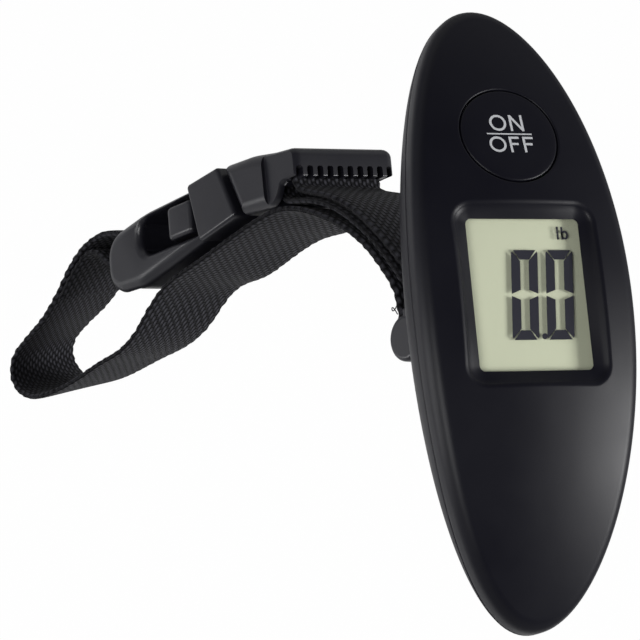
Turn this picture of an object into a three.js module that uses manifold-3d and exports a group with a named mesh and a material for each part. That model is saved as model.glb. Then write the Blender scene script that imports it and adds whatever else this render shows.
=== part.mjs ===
// A digital luggage scale: an arched oval handle with a display and an ON/OFF button, a load
// cell inside it, and a webbing strap with a side-release buckle that hangs from its back.
//
// Millimetres. X runs across the handle, Y along it towards the button, Z out of the display.
// The origin is the middle of the handle, level with the middle of the face's edge.

import * as THREE from 'three';
import { mergeVertices } from 'three/addons/utils/BufferGeometryUtils.js';
import Module from 'manifold-3d';

const wasm = await Module();
wasm.setup();

// ---- clearances ---------------------------------------------------------------------------
const GAP = 0.3;              // between pieces that touch on the real product
const PIN_GAP = 0.05;         // round a pin or screw in its hole

// ---- the handle ---------------------------------------------------------------------------
const HANDLE_LENGTH = 130;
const HANDLE_WIDTH = 46.4;
const ARCH = 12.8;            // how far the face's edge drops from the middle to the ends
const CROWN = 3;              // how far the middle of the face stands over its edge
const EDGE_BEVEL = 1.2;       // bevel between the face and the side
const FRONT_SIDE = 5;         // height of the front shell's side
const TIP_REAR = 2.2;         // height of the rear shell at the two ends
const BACK_BORDER = 8;        // width of the rounded border round the flat back
const BACK_POWER = 2.5;       // 2 would be an ellipse, more is squarer
const WALL = 1.8;             // wall of both shells
const BACK_Z = -(ARCH + FRONT_SIDE + GAP + TIP_REAR);
const FLOOR_Z = BACK_Z + WALL;

// ---- display ------------------------------------------------------------------------------
const WINDOW_WIDTH = 26;      // clear opening over the display
const WINDOW_HEIGHT = 32;
const WINDOW_CORNER = 1.5;
const BEZEL_SLOPE = 2.3;      // how far the sunk bezel leans in on each side
const BEZEL_DEPTH = 3.4;      // from the middle of the face down to the lens
const BEZEL_CORNER = 4;
const LENS_LEDGE = 0.7;       // lens under the edge of the window
const LENS_THICK = 1;
const FRAME_WALL = 2;         // wall round the lens, moulded on the front shell
const LCD_THICK = 2.2;
const LCD_MARGIN = 1.6;       // LCD glass beyond the window on each side
const HOLDER_WALL = 1.4;
const HOLDER_SHELF = 1;       // shelf under the edge of the LCD glass
const ZEBRA_WIDTH = 2;
const ZEBRA_LENGTH = 24;

// ---- circuit board ------------------------------------------------------------------------
const BOARD_TOP_Z = -8;
const BOARD_THICK = 1;
const BOARD_WIDTH = 32;
const BOARD_LOW_Y = -24;
const BOARD_HIGH_Y = 41;
const BOARD_CORNER = 3;
const BOARD_POST_R = 1.6;
const BOARD_STOPS = [[12, -21.8], [-12, -21.8], [13, 24], [-13, 24]];   // from the front shell
const BOARD_LEGS = [[13, -6], [-13, -6], [13, 24], [-13, 24]];          // from the rear shell
const BLOB_R = 5;
const BLOB_HEIGHT = 1.6;

// ---- button -------------------------------------------------------------------------------
const BUTTON_Y = 33.9;
const BUTTON_R = 10.3;
const BUTTON_GAP = 0.5;
const BUTTON_THICK = 1.6;
const BUTTON_SKIRT = 1.2;
const BUTTON_LUG = 1.6;       // lugs that keep the button under the shell
const BUTTON_LUG_HALF = 3;
const BUTTON_LUG_THICK = 1;
const BUTTON_STEM_R = 1.5;
const SWITCH_SIDE = 6;
const SWITCH_HEIGHT = 3;
const PLUNGER_R = 1.7;
const PLUNGER_RISE = 0.9;
const PLUNGER_SUNK = 0.8;
const PLUNGER_ROOM = 0.8;     // free depth under the plunger

// ---- load cell and hanger -----------------------------------------------------------------
const CELL_WIDTH = 9;
const CELL_LOW_Y = -5.5;
const CELL_HIGH_Y = 37;
const CELL_TOP_Z = -10.9;
const CELL_HEIGHT = 6;
const CELL_HOLE_R = 2.1;      // two holes joined by a slot, where the bar bends
const CELL_HOLE_YS = [11, 18];
const CELL_SLOT = 1.6;
const CELL_SCREW_YS = [27, 33];
const CELL_SCREW_R = 1.5;
const CELL_SCREW_HEAD_R = 2.6;
const CELL_SCREW_HEAD = 1.4;
const CELL_BOSS_R = 3.6;
const CELL_SCREW_END_Z = BACK_Z + 0.7;
const GAUGE_LENGTH = 9;
const GAUGE_WIDTH = 6;
const GAUGE_THICK = 0.4;
const BOLT_R = 2;
const BOLT_SHOULDER_R = 3.3;
const BOLT_SHOULDER = 1.1;
const BOLT_PORT_R = 4.4;      // hole in the rear shell, clear of the bolt
const NUT_R = 3.4;
const NUT_HEIGHT = 1.4;
const EYE_WIDTH = 4;          // eye of the hanger bolt, along its pin
const EYE_R = 2.6;
const PIVOT_DROP = 5;         // hanger pin under the flat back
const HANGER_PIN_R = 1.1;
const LEAN = THREE.MathUtils.degToRad(20);
const YOKE_EAR = 2;
const YOKE_BRIDGE = 2.1;      // thickness of the bridge from ear to cheek
const YOKE_SHOULDER = 3.6;    // bevel on the bridge's two ends
const CHEEK_R = 6;
const CHEEK_THICK = 2.6;
const STRAP_PIN_R = 2.5;
const PIN_SUNK = 0.2;         // pin ends below the faces beside them

// ---- battery ------------------------------------------------------------------------------
const BATTERY_Y = -24;
const BATTERY_R = 10;
const BATTERY_THICK = 3.2;
const COVER_R = 12.6;
const COVER_THICK = 1;
const COVER_NECK_R = 11.2;
const COVER_NECK_WALL = 0.8;
const COVER_BASE = 0.6;       // floor of the cover's neck, under the battery
const COVER_LUGS = 3;
const COVER_LUG = 1;          // how far a lug reaches past the neck
const COVER_LUG_HEIGHT = 0.9;
const COVER_LUG_ANGLE = THREE.MathUtils.degToRad(30);
const COVER_TURN = THREE.MathUtils.degToRad(60);
const COIN_SLOT = [14, 1.8, 0.6];
const CONTACT_THICK = 0.4;
const CONTACT_WIDTH = 5;
const CONTACT_OVERLAP = 1.2;  // how far the edge contact reaches down the battery's side

// ---- case screws --------------------------------------------------------------------------
const CASE_SCREWS = [[5.5, 50], [-5.5, 50], [5.5, -53.5], [-5.5, -53.5]];
const SCREW_R = 1.1;
const SCREW_HEAD_R = 2.1;
const SCREW_HEAD = 1.5;
const SCREW_LENGTH = 7;
const SCREW_CROSS = [3, 0.5, 0.5];
const SCREW_SINK = 1.5;       // head below the flat back
const BOSS_R = 3.2;
const BOSS_MEET_Z = -14.5;    // where the bosses of the two shells meet

// ---- webbing ------------------------------------------------------------------------------
const WEB_WIDTH = 25;
const WEB_THICK = 1.6;
const WEB_SKEW = [6, -8];     // the far edge's shift in Y and Z at the end of the loop
const WEB_SIDE_GAP = 0.5;     // webbing to the cheeks beside it

// ---- buckle, in the strap's frame: Y and Z from the strap pin's axis ----------------------
const FEMALE_HALF = WEB_WIDTH / 2 + 2.7;    // half widths across the strap
const MALE_HALF = FEMALE_HALF + 0.2;
const COLLAR_HALF = FEMALE_HALF + 0.8;
const FEMALE_BAR = { y: 41.6, z: -99, r: 2.2 };
const MALE_BAR = { y: 42.8, z: -36.7, high: 3.6, deep: 2.4 };
const PRONG_X = FEMALE_HALF - 4;            // middle of a prong's arm
const PRONG_THICK = 2.6;
const PRONG_Y = 42.8;
const PRONG_HEIGHT = 6.4;
const PRONG_ROOT_Z = -55.6;
const PAD_HEIGHT = 9.2;
const PAD_Z = [-68.8, -78.6];
const PAD_NOSE = 5.5;
const CATCH_GAP = 0.7;        // play between the pad and the edge that holds it
const PAD_REACH = FEMALE_HALF + 0.1;
const TONGUE_HALF = 4;
const TONGUE_END_Z = -84;
const COMB_GAPS = 10;
const COMB_PITCH = 2.3;
const COMB_GAP = 1.1;
const COMB_DEPTH = 2.2;

// ---- materials ----------------------------------------------------------------------------
const colours = {
  shell: ['#1d1d20', 0.45, 0], button: ['#19191b', 0.4, 0], lens: ['#dfe5e2', 0.1, 0],
  lcd: ['#bfc3a8', 0.3, 0], holder: ['#d9d9d4', 0.6, 0], zebra: ['#c99aa0', 0.8, 0],
  board: ['#1d5a34', 0.5, 0], blob: ['#0c0c0d', 0.3, 0], metal: ['#b7babd', 0.35, 0.9],
  cell: ['#a9acb0', 0.4, 0.9], gauge: ['#b5793c', 0.5, 0.1], plastic: ['#2b2b2d', 0.35, 0],
  webbing: ['#17171a', 0.9, 0], battery: ['#c4c6c8', 0.3, 0.9], steel: ['#7f8386', 0.4, 0.8],
};

function material(key) {
  const [color, roughness, metalness] = colours[key];
  return new THREE.MeshStandardMaterial({ color, roughness, metalness });
}

// ---- geometry helpers ---------------------------------------------------------------------
function solidOf(geometry) {
  const bare = geometry.index ? geometry.clone() : mergeVertices(geometry);
  bare.deleteAttribute('normal');
  bare.deleteAttribute('uv');
  const merged = mergeVertices(bare, 1e-5);
  return new wasm.Manifold(new wasm.Mesh({
    numProp: 3,
    vertProperties: new Float32Array(merged.attributes.position.array),
    triVerts: new Uint32Array(merged.index.array),
  }));
}

function geometryOf(solid) {
  const mesh = solid.getMesh();
  const geometry = new THREE.BufferGeometry();
  geometry.setAttribute('position', new THREE.BufferAttribute(mesh.vertProperties, mesh.numProp));
  geometry.setIndex(new THREE.BufferAttribute(mesh.triVerts, 1));
  geometry.computeVertexNormals();
  return geometry;
}

function add(parent, name, solid, key) {
  const mesh = new THREE.Mesh(geometryOf(solid), material(key));
  mesh.name = name;
  parent.add(mesh);
  return mesh;
}

function box(low, high) {
  const size = high.map((value, axis) => value - low[axis]);
  const geometry = new THREE.BoxGeometry(...size);
  geometry.translate(...low.map((value, axis) => value + size[axis] / 2));
  return solidOf(geometry);
}

// A cylinder along an axis, from one value to another on it, at [x, y, z] on the other two.
function rod(axis, radius, from, to, at, sides = 24) {
  const geometry = new THREE.CylinderGeometry(radius, radius, to - from, sides);
  geometry.translate(0, (from + to) / 2, 0);
  if (axis === 'x') geometry.rotateZ(-Math.PI / 2);
  if (axis === 'z') geometry.rotateX(Math.PI / 2);
  geometry.translate(...at);
  return solidOf(geometry);
}

// A closed solid through rings of equally many points; flat or domed caps meet at two poles.
function ringSolid(rings, firstPole, lastPole) {
  const count = rings[0].length;
  const points = [firstPole, ...rings.flat(), lastPole].flat();
  const last = rings.length * count + 1;
  const index = [];
  for (let i = 0; i < count; i += 1) {
    const next = (i + 1) % count;
    index.push(0, 1 + i, 1 + next);
    for (let k = 0; k + 1 < rings.length; k += 1) {
      const a = 1 + k * count;
      const b = a + count;
      index.push(a + i, b + i, b + next, a + i, b + next, a + next);
    }
    const a = last - count;
    index.push(a + i, last, a + next);
  }
  const geometry = new THREE.BufferGeometry();
  geometry.setAttribute('position', new THREE.Float32BufferAttribute(points, 3));
  geometry.setIndex(index);
  return solidOf(geometry);
}

// An outline in a plane, as a THREE.Shape from [u, v] points.
function outline(points) {
  const shape = new THREE.Shape();
  points.forEach(([u, v], i) => (i ? shape.lineTo(u, v) : shape.moveTo(u, v)));
  shape.closePath();
  return shape;
}

function roundedRect(width, height, corner) {
  const [w, h, r] = [width / 2, height / 2, corner];
  const shape = new THREE.Shape();
  shape.moveTo(-w + r, -h);
  shape.lineTo(w - r, -h);
  shape.absarc(w - r, -h + r, r, -Math.PI / 2, 0);
  shape.lineTo(w, h - r);
  shape.absarc(w - r, h - r, r, 0, Math.PI / 2);
  shape.lineTo(-w + r, h);
  shape.absarc(-w + r, h - r, r, Math.PI / 2, Math.PI);
  shape.lineTo(-w, -h + r);
  shape.absarc(-w + r, -h + r, r, Math.PI, Math.PI * 1.5);
  return shape;
}

// A plate with a rounded outline in X and Y, between two heights.
function plate(width, height, corner, lowZ, highZ, centreY = 0, steps = 5) {
  const shape = roundedRect(width, height, corner);
  const options = { depth: highZ - lowZ, bevelEnabled: false, curveSegments: steps };
  const geometry = new THREE.ExtrudeGeometry(shape, options);
  geometry.translate(0, centreY, lowZ);
  return solidOf(geometry);
}

function roundedRing(width, height, corner, z, centreY, steps = 5) {
  const ring = roundedRect(width, height, corner).getPoints(steps).slice(0, -1);
  return ring.map((p) => [p.x, p.y + centreY, z]);
}

// A profile in the strap's (z, y) plane, carried across it from one x to another.
function acrossStrap(profile, lowX, highX) {
  const shape = outline(profile.map(([y, z]) => [-z, y]));
  const depth = highX - lowX;
  const geometry = new THREE.ExtrudeGeometry(shape, { depth, bevelEnabled: false });
  geometry.rotateY(Math.PI / 2);
  geometry.translate(lowX, 0, 0);
  return solidOf(geometry);
}

// ---- the handle's outer form --------------------------------------------------------------
const SIDES = 48;

function faceZ(x, y) {
  const across = (2 * x / HANDLE_WIDTH) ** 2;
  const along = (2 * y / HANDLE_LENGTH) ** 2;
  return -ARCH * along + CROWN * (1 - across - along);
}

// A ring of the handle's oval, set in by `inset` and shrunk to `reach`; height(x, y, drop).
function ovalRing(inset, reach, height) {
  return Array.from({ length: SIDES }, (_, i) => {
    const angle = 2 * Math.PI * i / SIDES;
    const x = (HANDLE_WIDTH / 2 - inset) * reach * Math.cos(angle);
    const y = (HANDLE_LENGTH / 2 - inset) * reach * Math.sin(angle);
    return [x, y, height(x, y, ARCH * Math.sin(angle) ** 2)];
  });
}

const REACHES = [0.3, 0.6, 0.85, 1];

// The front shell's volume under a face lowered by `depth`, down to `sideDepth` at the side.
function frontVolume(inset, bevel, depth, sideDepth) {
  const face = REACHES.map((reach) => ovalRing(inset + bevel, reach, (x, y) => faceZ(x, y) - depth));
  const shoulder = ovalRing(inset, 1, (x, y) => Math.min(faceZ(x, y) - depth - bevel, 0));
  const foot = ovalRing(inset, 1, (x, y, drop) => -drop - sideDepth);
  const rings = bevel > 0 ? [...face, shoulder, foot] : [...face, foot];
  return ringSolid(rings, [0, 0, faceZ(0, 0) - depth], [0, 0, -sideDepth]);
}

// The rear shell's volume, set in by `inset`, from `topDepth` under the edge to `bottomZ`.
function rearVolume(inset, topDepth, bottomZ, border) {
  const steps = [0, 0.3, 0.6, 0.85, 1];
  const rings = steps.map((f) => {
    const turn = 1 - (1 - f ** BACK_POWER) ** (1 / BACK_POWER);
    const top = (drop) => -drop - topDepth;
    const height = (x, y, drop) => top(drop) - f * (top(drop) - bottomZ);
    return ovalRing(inset + border * turn, 1, height);
  });
  return ringSolid(rings, [0, 0, -topDepth], [0, 0, bottomZ]);
}

// ---- heights that follow from the sizes above ---------------------------------------------
const LENS_TOP_Z = CROWN - BEZEL_DEPTH;
const LENS_BOTTOM_Z = LENS_TOP_Z - LENS_THICK;
const LCD_TOP_Z = LENS_BOTTOM_Z - GAP;
const LCD_BOTTOM_Z = LCD_TOP_Z - LCD_THICK;
const FRAME_BOTTOM_Z = LENS_BOTTOM_Z - 0.2;
const BOARD_BOTTOM_Z = BOARD_TOP_Z - BOARD_THICK;
const CELL_BOTTOM_Z = CELL_TOP_Z - CELL_HEIGHT;
const SWITCH_TOP_Z = BOARD_TOP_Z + SWITCH_HEIGHT;
const PLUNGER_TOP_Z = SWITCH_TOP_Z + PLUNGER_RISE;
const BUTTON_HOLE_R = BUTTON_R + BUTTON_GAP;
const LUG_REACH = BUTTON_R + BUTTON_LUG;
const LUG_TOP_Z = faceZ(LUG_REACH, BUTTON_Y + BUTTON_LUG_HALF) - WALL - GAP;
const LUG_BOTTOM_Z = LUG_TOP_Z - BUTTON_LUG_THICK;
const SCREW_HEAD_Z = BACK_Z + SCREW_SINK;
const SCREW_SEAT_Z = SCREW_HEAD_Z + SCREW_HEAD;
const SCREW_END_Z = SCREW_SEAT_Z + SCREW_LENGTH;
const LENS_SIZE = [WINDOW_WIDTH + 2 * LENS_LEDGE, WINDOW_HEIGHT + 2 * LENS_LEDGE];
const LCD_SIZE = [WINDOW_WIDTH + 2 * LCD_MARGIN, WINDOW_HEIGHT + 2 * LCD_MARGIN];

function grown([width, height], margin) {
  return [width + 2 * margin, height + 2 * margin];
}

// ---- shells -------------------------------------------------------------------------------
function frontShell() {
  let ribs = plate(...grown(LENS_SIZE, GAP + FRAME_WALL), BEZEL_CORNER, FRAME_BOTTOM_Z, CROWN);
  CASE_SCREWS.forEach(([x, y]) => {
    ribs = ribs.add(rod('z', BOSS_R, BOSS_MEET_Z + GAP, 0, [x, y, 0], 16));
  });
  BOARD_STOPS.forEach(([x, y]) => {
    ribs = ribs.add(rod('z', BOARD_POST_R, BOARD_TOP_Z + GAP, 0, [x, y, 0], 10));
  });
  const underFace = frontVolume(WALL / 2, 0, WALL / 2, ARCH + FRONT_SIDE - BACK_Z);
  const outer = frontVolume(0, EDGE_BEVEL, 0, FRONT_SIDE);
  const inner = frontVolume(WALL, 0, WALL, FRONT_SIDE + GAP);
  let shell = outer.subtract(inner).add(ribs.intersect(underFace));
  shell = shell.subtract(rod('z', BUTTON_HOLE_R, BACK_Z, CROWN, [0, BUTTON_Y, 0], 48));
  shell = shell.subtract(bezelCut());
  shell = shell.subtract(plate(...grown(LENS_SIZE, GAP), WINDOW_CORNER, BACK_Z, LENS_TOP_Z));
  CASE_SCREWS.forEach(([x, y]) => {
    shell = shell.subtract(rod('z', SCREW_R + PIN_GAP, BACK_Z, SCREW_END_Z + GAP, [x, y, 0], 12));
  });
  return shell;
}

// The sunk, sloping surround of the display.
function bezelCut() {
  const rise = BEZEL_DEPTH + EDGE_BEVEL;
  const spread = BEZEL_SLOPE * rise / BEZEL_DEPTH;
  const window = [WINDOW_WIDTH, WINDOW_HEIGHT];
  const low = LENS_TOP_Z - GAP;
  return ringSolid([
    roundedRing(...grown(window, spread), BEZEL_CORNER, LENS_TOP_Z + rise, 0),
    roundedRing(...window, WINDOW_CORNER, LENS_TOP_Z, 0),
    roundedRing(...window, WINDOW_CORNER, low, 0),
  ], [0, 0, LENS_TOP_Z + rise], [0, 0, low]);
}

function rearShell() {
  const outer = rearVolume(0, FRONT_SIDE + GAP, BACK_Z, BACK_BORDER);
  const inner = rearVolume(WALL, FRONT_SIDE, FLOOR_Z, BACK_BORDER);
  let ribs = rod('z', COVER_R + WALL, BACK_Z, FLOOR_Z + 0.1, [0, BATTERY_Y, 0], 48);
  CASE_SCREWS.forEach(([x, y]) => {
    ribs = ribs.add(rod('z', BOSS_R, BACK_Z, BOSS_MEET_Z, [x, y, 0], 16));
  });
  CELL_SCREW_YS.forEach((y) => {
    ribs = ribs.add(rod('z', CELL_BOSS_R, BACK_Z, CELL_BOTTOM_Z - GAP, [0, y, 0], 16));
  });
  BOARD_LEGS.forEach(([x, y]) => {
    ribs = ribs.add(rod('z', BOARD_POST_R, BACK_Z, BOARD_BOTTOM_Z - GAP, [x, y, 0], 10));
  });
  const overBack = rearVolume(WALL / 2, -ARCH - FRONT_SIDE, BACK_Z, BACK_BORDER);
  let shell = outer.subtract(inner).add(ribs.intersect(overBack));
  shell = shell.subtract(rod('z', BOLT_PORT_R, BACK_Z - 1, FLOOR_Z + 1, [0, 0, 0]));
  shell = shell.subtract(batteryPort());
  CASE_SCREWS.forEach(([x, y]) => {
    shell = shell.subtract(rod('z', SCREW_R + GAP, BACK_Z - 1, CROWN, [x, y, 0], 12));
    shell = shell.subtract(rod('z', SCREW_HEAD_R + GAP, BACK_Z - 1, SCREW_SEAT_Z, [x, y, 0], 16));
  });
  CELL_SCREW_YS.forEach((y) => {
    const [bore, low] = [CELL_SCREW_R + PIN_GAP, CELL_SCREW_END_Z - 0.2];
    shell = shell.subtract(rod('z', bore, low, CELL_TOP_Z, [0, y, 0], 16));
  });
  return shell;
}

// Seat, neck and bayonet notches of the round battery cover.
function batteryPort() {
  const centre = [0, BATTERY_Y, 0];
  const seatZ = BACK_Z + COVER_THICK + GAP / 2;
  let port = rod('z', COVER_R + GAP, BACK_Z - 1, seatZ, centre, 48);
  port = port.add(rod('z', COVER_NECK_R + GAP, BACK_Z - 1, CROWN, centre, 40));
  return port.add(coverLugs(COVER_NECK_R + COVER_LUG + GAP, seatZ - 0.1, FLOOR_Z + 1, COVER_TURN, 1.25));
}

// Sectors of a ring, one for each lug, turned by `turn` and `wider` than a lug.
function coverLugs(radius, low, high, turn, wider = 1) {
  const half = COVER_LUG_ANGLE * wider / 2;
  const shape = new THREE.Shape();
  shape.moveTo(0, 0);
  shape.lineTo(radius * Math.cos(half), -radius * Math.sin(half));
  shape.absarc(0, 0, radius, -half, half);
  shape.closePath();
  const lugs = Array.from({ length: COVER_LUGS }, (_, i) => {
    const options = { depth: high - low, bevelEnabled: false, curveSegments: 6 };
    const geometry = new THREE.ExtrudeGeometry(shape, options);
    geometry.rotateZ(turn + 2 * Math.PI * i / COVER_LUGS);
    geometry.translate(0, BATTERY_Y, low);
    return solidOf(geometry);
  });
  return lugs.reduce((all, lug) => all.add(lug));
}

// ---- display ------------------------------------------------------------------------------
function displayLens() {
  return plate(...LENS_SIZE, WINDOW_CORNER, LENS_BOTTOM_Z, LENS_TOP_Z);
}

function lcdGlass() {
  return plate(...LCD_SIZE, WINDOW_CORNER / 2, LCD_BOTTOM_Z, LCD_TOP_Z);
}

// What of a solid the front shell has room for.
function insideShell(solid) {
  const inset = WALL + PIN_GAP;
  return solid.intersect(frontVolume(inset, 0, inset, ARCH + FRONT_SIDE - BACK_Z));
}

function lcdHolder() {
  const top = FRAME_BOTTOM_Z - GAP;
  const outer = plate(...grown(LCD_SIZE, GAP + HOLDER_WALL), WINDOW_CORNER, BOARD_TOP_Z, top);
  const seat = plate(...grown(LCD_SIZE, GAP), WINDOW_CORNER / 2, LCD_BOTTOM_Z, CROWN);
  const well = plate(...grown(LCD_SIZE, -HOLDER_SHELF), WINDOW_CORNER / 2, BACK_Z, CROWN);
  return insideShell(outer).subtract(seat).subtract(well);
}

function zebraStrip(side) {
  const y = side * (LCD_SIZE[1] / 2 - HOLDER_SHELF - GAP - ZEBRA_WIDTH / 2);
  const [x, half] = [ZEBRA_LENGTH / 2, ZEBRA_WIDTH / 2];
  return box([-x, y - half, BOARD_TOP_Z], [x, y + half, LCD_BOTTOM_Z]);
}

// ---- circuit board ------------------------------------------------------------------------
function mainBoard() {
  const length = BOARD_HIGH_Y - BOARD_LOW_Y;
  const middle = (BOARD_HIGH_Y + BOARD_LOW_Y) / 2;
  return insideShell(plate(BOARD_WIDTH, length, BOARD_CORNER, BOARD_BOTTOM_Z, BOARD_TOP_Z, middle));
}

function chipBlob() {
  const dome = new THREE.SphereGeometry(BLOB_R, 24, 12);
  dome.scale(1, 1, BLOB_HEIGHT / BLOB_R);
  dome.translate(0, (BATTERY_Y + CELL_LOW_Y) / 2 + BLOB_R / 4, BOARD_BOTTOM_Z);
  const reach = BLOB_R * 2;
  const under = box([-reach, -reach * 2, BACK_Z], [reach, reach, BOARD_BOTTOM_Z]);
  return solidOf(dome).intersect(under);
}

// ---- button and switch --------------------------------------------------------------------
function onOffButton() {
  const centre = [0, BUTTON_Y, 0];
  const lugs = box([-LUG_REACH, BUTTON_Y - BUTTON_LUG_HALF, LUG_BOTTOM_Z],
    [LUG_REACH, BUTTON_Y + BUTTON_LUG_HALF, LUG_TOP_Z]);
  const face = frontVolume(0, EDGE_BEVEL, 0, -BACK_Z);
  const underside = frontVolume(0, EDGE_BEVEL, BUTTON_THICK, -BACK_Z);
  const cap = rod('z', BUTTON_R, LUG_BOTTOM_Z, CROWN, centre, 48).intersect(face);
  const hollow = rod('z', BUTTON_R - BUTTON_SKIRT, BACK_Z, CROWN, centre, 48);
  const stem = rod('z', BUTTON_STEM_R, PLUNGER_TOP_Z + GAP, CROWN, centre, 20);
  return cap.add(lugs).subtract(hollow.intersect(underside)).add(stem.intersect(face));
}

function switchBody() {
  const half = SWITCH_SIDE / 2;
  const body = box([-half, BUTTON_Y - half, BOARD_TOP_Z], [half, BUTTON_Y + half, SWITCH_TOP_Z]);
  const wellZ = SWITCH_TOP_Z - PLUNGER_SUNK - PLUNGER_ROOM;
  return body.subtract(rod('z', PLUNGER_R + 2 * PIN_GAP, wellZ, CROWN, [0, BUTTON_Y, 0], 24));
}

function switchPlunger() {
  return rod('z', PLUNGER_R, SWITCH_TOP_Z - PLUNGER_SUNK, PLUNGER_TOP_Z, [0, BUTTON_Y, 0], 24);
}

// ---- load cell ----------------------------------------------------------------------------
function loadCell() {
  const half = CELL_WIDTH / 2;
  const middleZ = (CELL_TOP_Z + CELL_BOTTOM_Z) / 2;
  let bar = box([-half, CELL_LOW_Y, CELL_BOTTOM_Z], [half, CELL_HIGH_Y, CELL_TOP_Z]);
  const [low, high] = CELL_HOLE_YS;
  const slot = CELL_SLOT / 2;
  bar = bar.subtract(box([-half - 1, low, middleZ - slot], [half + 1, high, middleZ + slot]));
  CELL_HOLE_YS.forEach((y) => {
    bar = bar.subtract(rod('x', CELL_HOLE_R, -half - 1, half + 1, [0, y, middleZ], 24));
  });
  CELL_SCREW_YS.forEach((y) => {
    bar = bar.subtract(rod('z', CELL_SCREW_R + PIN_GAP, BACK_Z, CROWN, [0, y, 0], 16));
  });
  return bar.subtract(rod('z', BOLT_R + PIN_GAP, BACK_Z, CROWN, [0, 0, 0]));
}

function strainGauge(low, high) {
  const middle = (CELL_HOLE_YS[0] + CELL_HOLE_YS[1]) / 2;
  const half = GAUGE_WIDTH / 2;
  return box([-half, middle - GAUGE_LENGTH / 2, low], [half, middle + GAUGE_LENGTH / 2, high]);
}

function cellScrew(y) {
  const head = rod('z', CELL_SCREW_HEAD_R, CELL_TOP_Z, CELL_TOP_Z + CELL_SCREW_HEAD, [0, y, 0], 16);
  const shank = rod('z', CELL_SCREW_R, CELL_SCREW_END_Z, CELL_TOP_Z + 0.5, [0, y, 0], 16);
  return head.add(shank);
}

function caseScrew([x, y]) {
  const head = rod('z', SCREW_HEAD_R, SCREW_HEAD_Z, SCREW_SEAT_Z, [x, y, 0], 16);
  const shank = rod('z', SCREW_R, SCREW_SEAT_Z - 0.1, SCREW_END_Z, [x, y, 0], 12);
  const slot = (halfX, halfY) => box([x - halfX, y - halfY, BACK_Z],
    [x + halfX, y + halfY, SCREW_HEAD_Z + SCREW_CROSS[2]]);
  const [reach, half] = [SCREW_CROSS[0] / 2, SCREW_CROSS[1] / 2];
  return head.add(shank).subtract(slot(reach, half)).subtract(slot(half, reach));
}

// Leads from the gauges up to the board, beside the bar.
function gaugeLeads() {
  const y = (CELL_HOLE_YS[0] + CELL_HOLE_YS[1]) / 2;
  const x = CELL_WIDTH / 2 + 1;
  const route = new THREE.CatmullRomCurve3([
    [x, y, CELL_TOP_Z - CELL_HEIGHT / 2], [x + 1.5, y, CELL_TOP_Z - 1.5], [x + 2, y + 1, CELL_TOP_Z],
    [x + 2, y + 2, BOARD_BOTTOM_Z - 2 * GAP],
  ].map((p) => new THREE.Vector3(...p)));
  const shape = new THREE.Shape().absarc(0, 0, 0.6, 0, 2 * Math.PI);
  const options = { extrudePath: route, steps: 14, bevelEnabled: false, curveSegments: 4 };
  return solidOf(new THREE.ExtrudeGeometry(shape, options));
}

// ---- battery ------------------------------------------------------------------------------
const BATTERY_LOW_Z = BACK_Z + COVER_THICK + COVER_BASE + GAP / 2;
const BATTERY_TOP_Z = BATTERY_LOW_Z + BATTERY_THICK;

function battery() {
  const step = 0.5;
  const at = [0, BATTERY_Y, 0];
  const can = rod('z', BATTERY_R, BATTERY_LOW_Z, BATTERY_TOP_Z - step, at, 36);
  const cap = rod('z', BATTERY_R - 1.2, BATTERY_TOP_Z - step - 0.1, BATTERY_TOP_Z, at, 36);
  return can.add(cap);
}

function batteryCover() {
  const centre = [0, BATTERY_Y, 0];
  const lidTop = BACK_Z + COVER_THICK;
  const lugZ = FLOOR_Z + GAP;
  const neckTop = lugZ + COVER_LUG_HEIGHT;
  const lid = rod('z', COVER_R, BACK_Z, lidTop, centre, 48);
  const neck = rod('z', COVER_NECK_R, lidTop - 0.1, neckTop, centre, 40);
  const bore = rod('z', COVER_NECK_R - COVER_NECK_WALL, lidTop + COVER_BASE, neckTop + 1, centre, 36);
  const lugs = coverLugs(COVER_NECK_R + COVER_LUG, lugZ, neckTop, 0);
  const [length, width, depth] = COIN_SLOT;
  const slot = box([-length / 2, BATTERY_Y - width / 2, BACK_Z - 1],
    [length / 2, BATTERY_Y + width / 2, BACK_Z + depth]);
  return lid.add(neck).add(lugs).subtract(bore).subtract(slot);
}

function contactTop() {
  const half = CONTACT_WIDTH / 2;
  const tongueZ = BATTERY_TOP_Z + GAP;
  const rootY = BATTERY_Y + 5;
  const backY = rootY + CONTACT_THICK;
  const leg = box([-half, rootY, tongueZ], [half, backY, BOARD_BOTTOM_Z]);
  const tongue = box([-half, BATTERY_Y - 3, tongueZ], [half, backY, tongueZ + CONTACT_THICK]);
  return leg.add(tongue);
}

function contactEdge() {
  const x = BATTERY_R + GAP;
  const y = BATTERY_Y + CONTACT_WIDTH / 2;
  return box([-x - CONTACT_THICK, y - CONTACT_WIDTH / 2, BATTERY_TOP_Z - CONTACT_OVERLAP],
    [-x, y + CONTACT_WIDTH / 2, BOARD_BOTTOM_Z]);
}

// ---- hanger -------------------------------------------------------------------------------
const PIVOT_Z = BACK_Z - PIVOT_DROP;
const BRIDGE_TOP_Z = -1;                                  // from here down: from the hanger pin
const BRIDGE_LOW_Z = BRIDGE_TOP_Z - YOKE_BRIDGE;
const WRAP_R = STRAP_PIN_R + GAP + WEB_THICK / 2;         // the webbing's middle round the pin
const STRAP_PIN_DROP = -BRIDGE_LOW_Z + GAP + WEB_THICK / 2 + WRAP_R;
const CHEEK_IN = WEB_WIDTH / 2 + WEB_SIDE_GAP;
const CHEEK_OUT = CHEEK_IN + CHEEK_THICK;
const EAR_IN = EYE_WIDTH / 2 + GAP;
const EAR_OUT = EAR_IN + YOKE_EAR;

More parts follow.
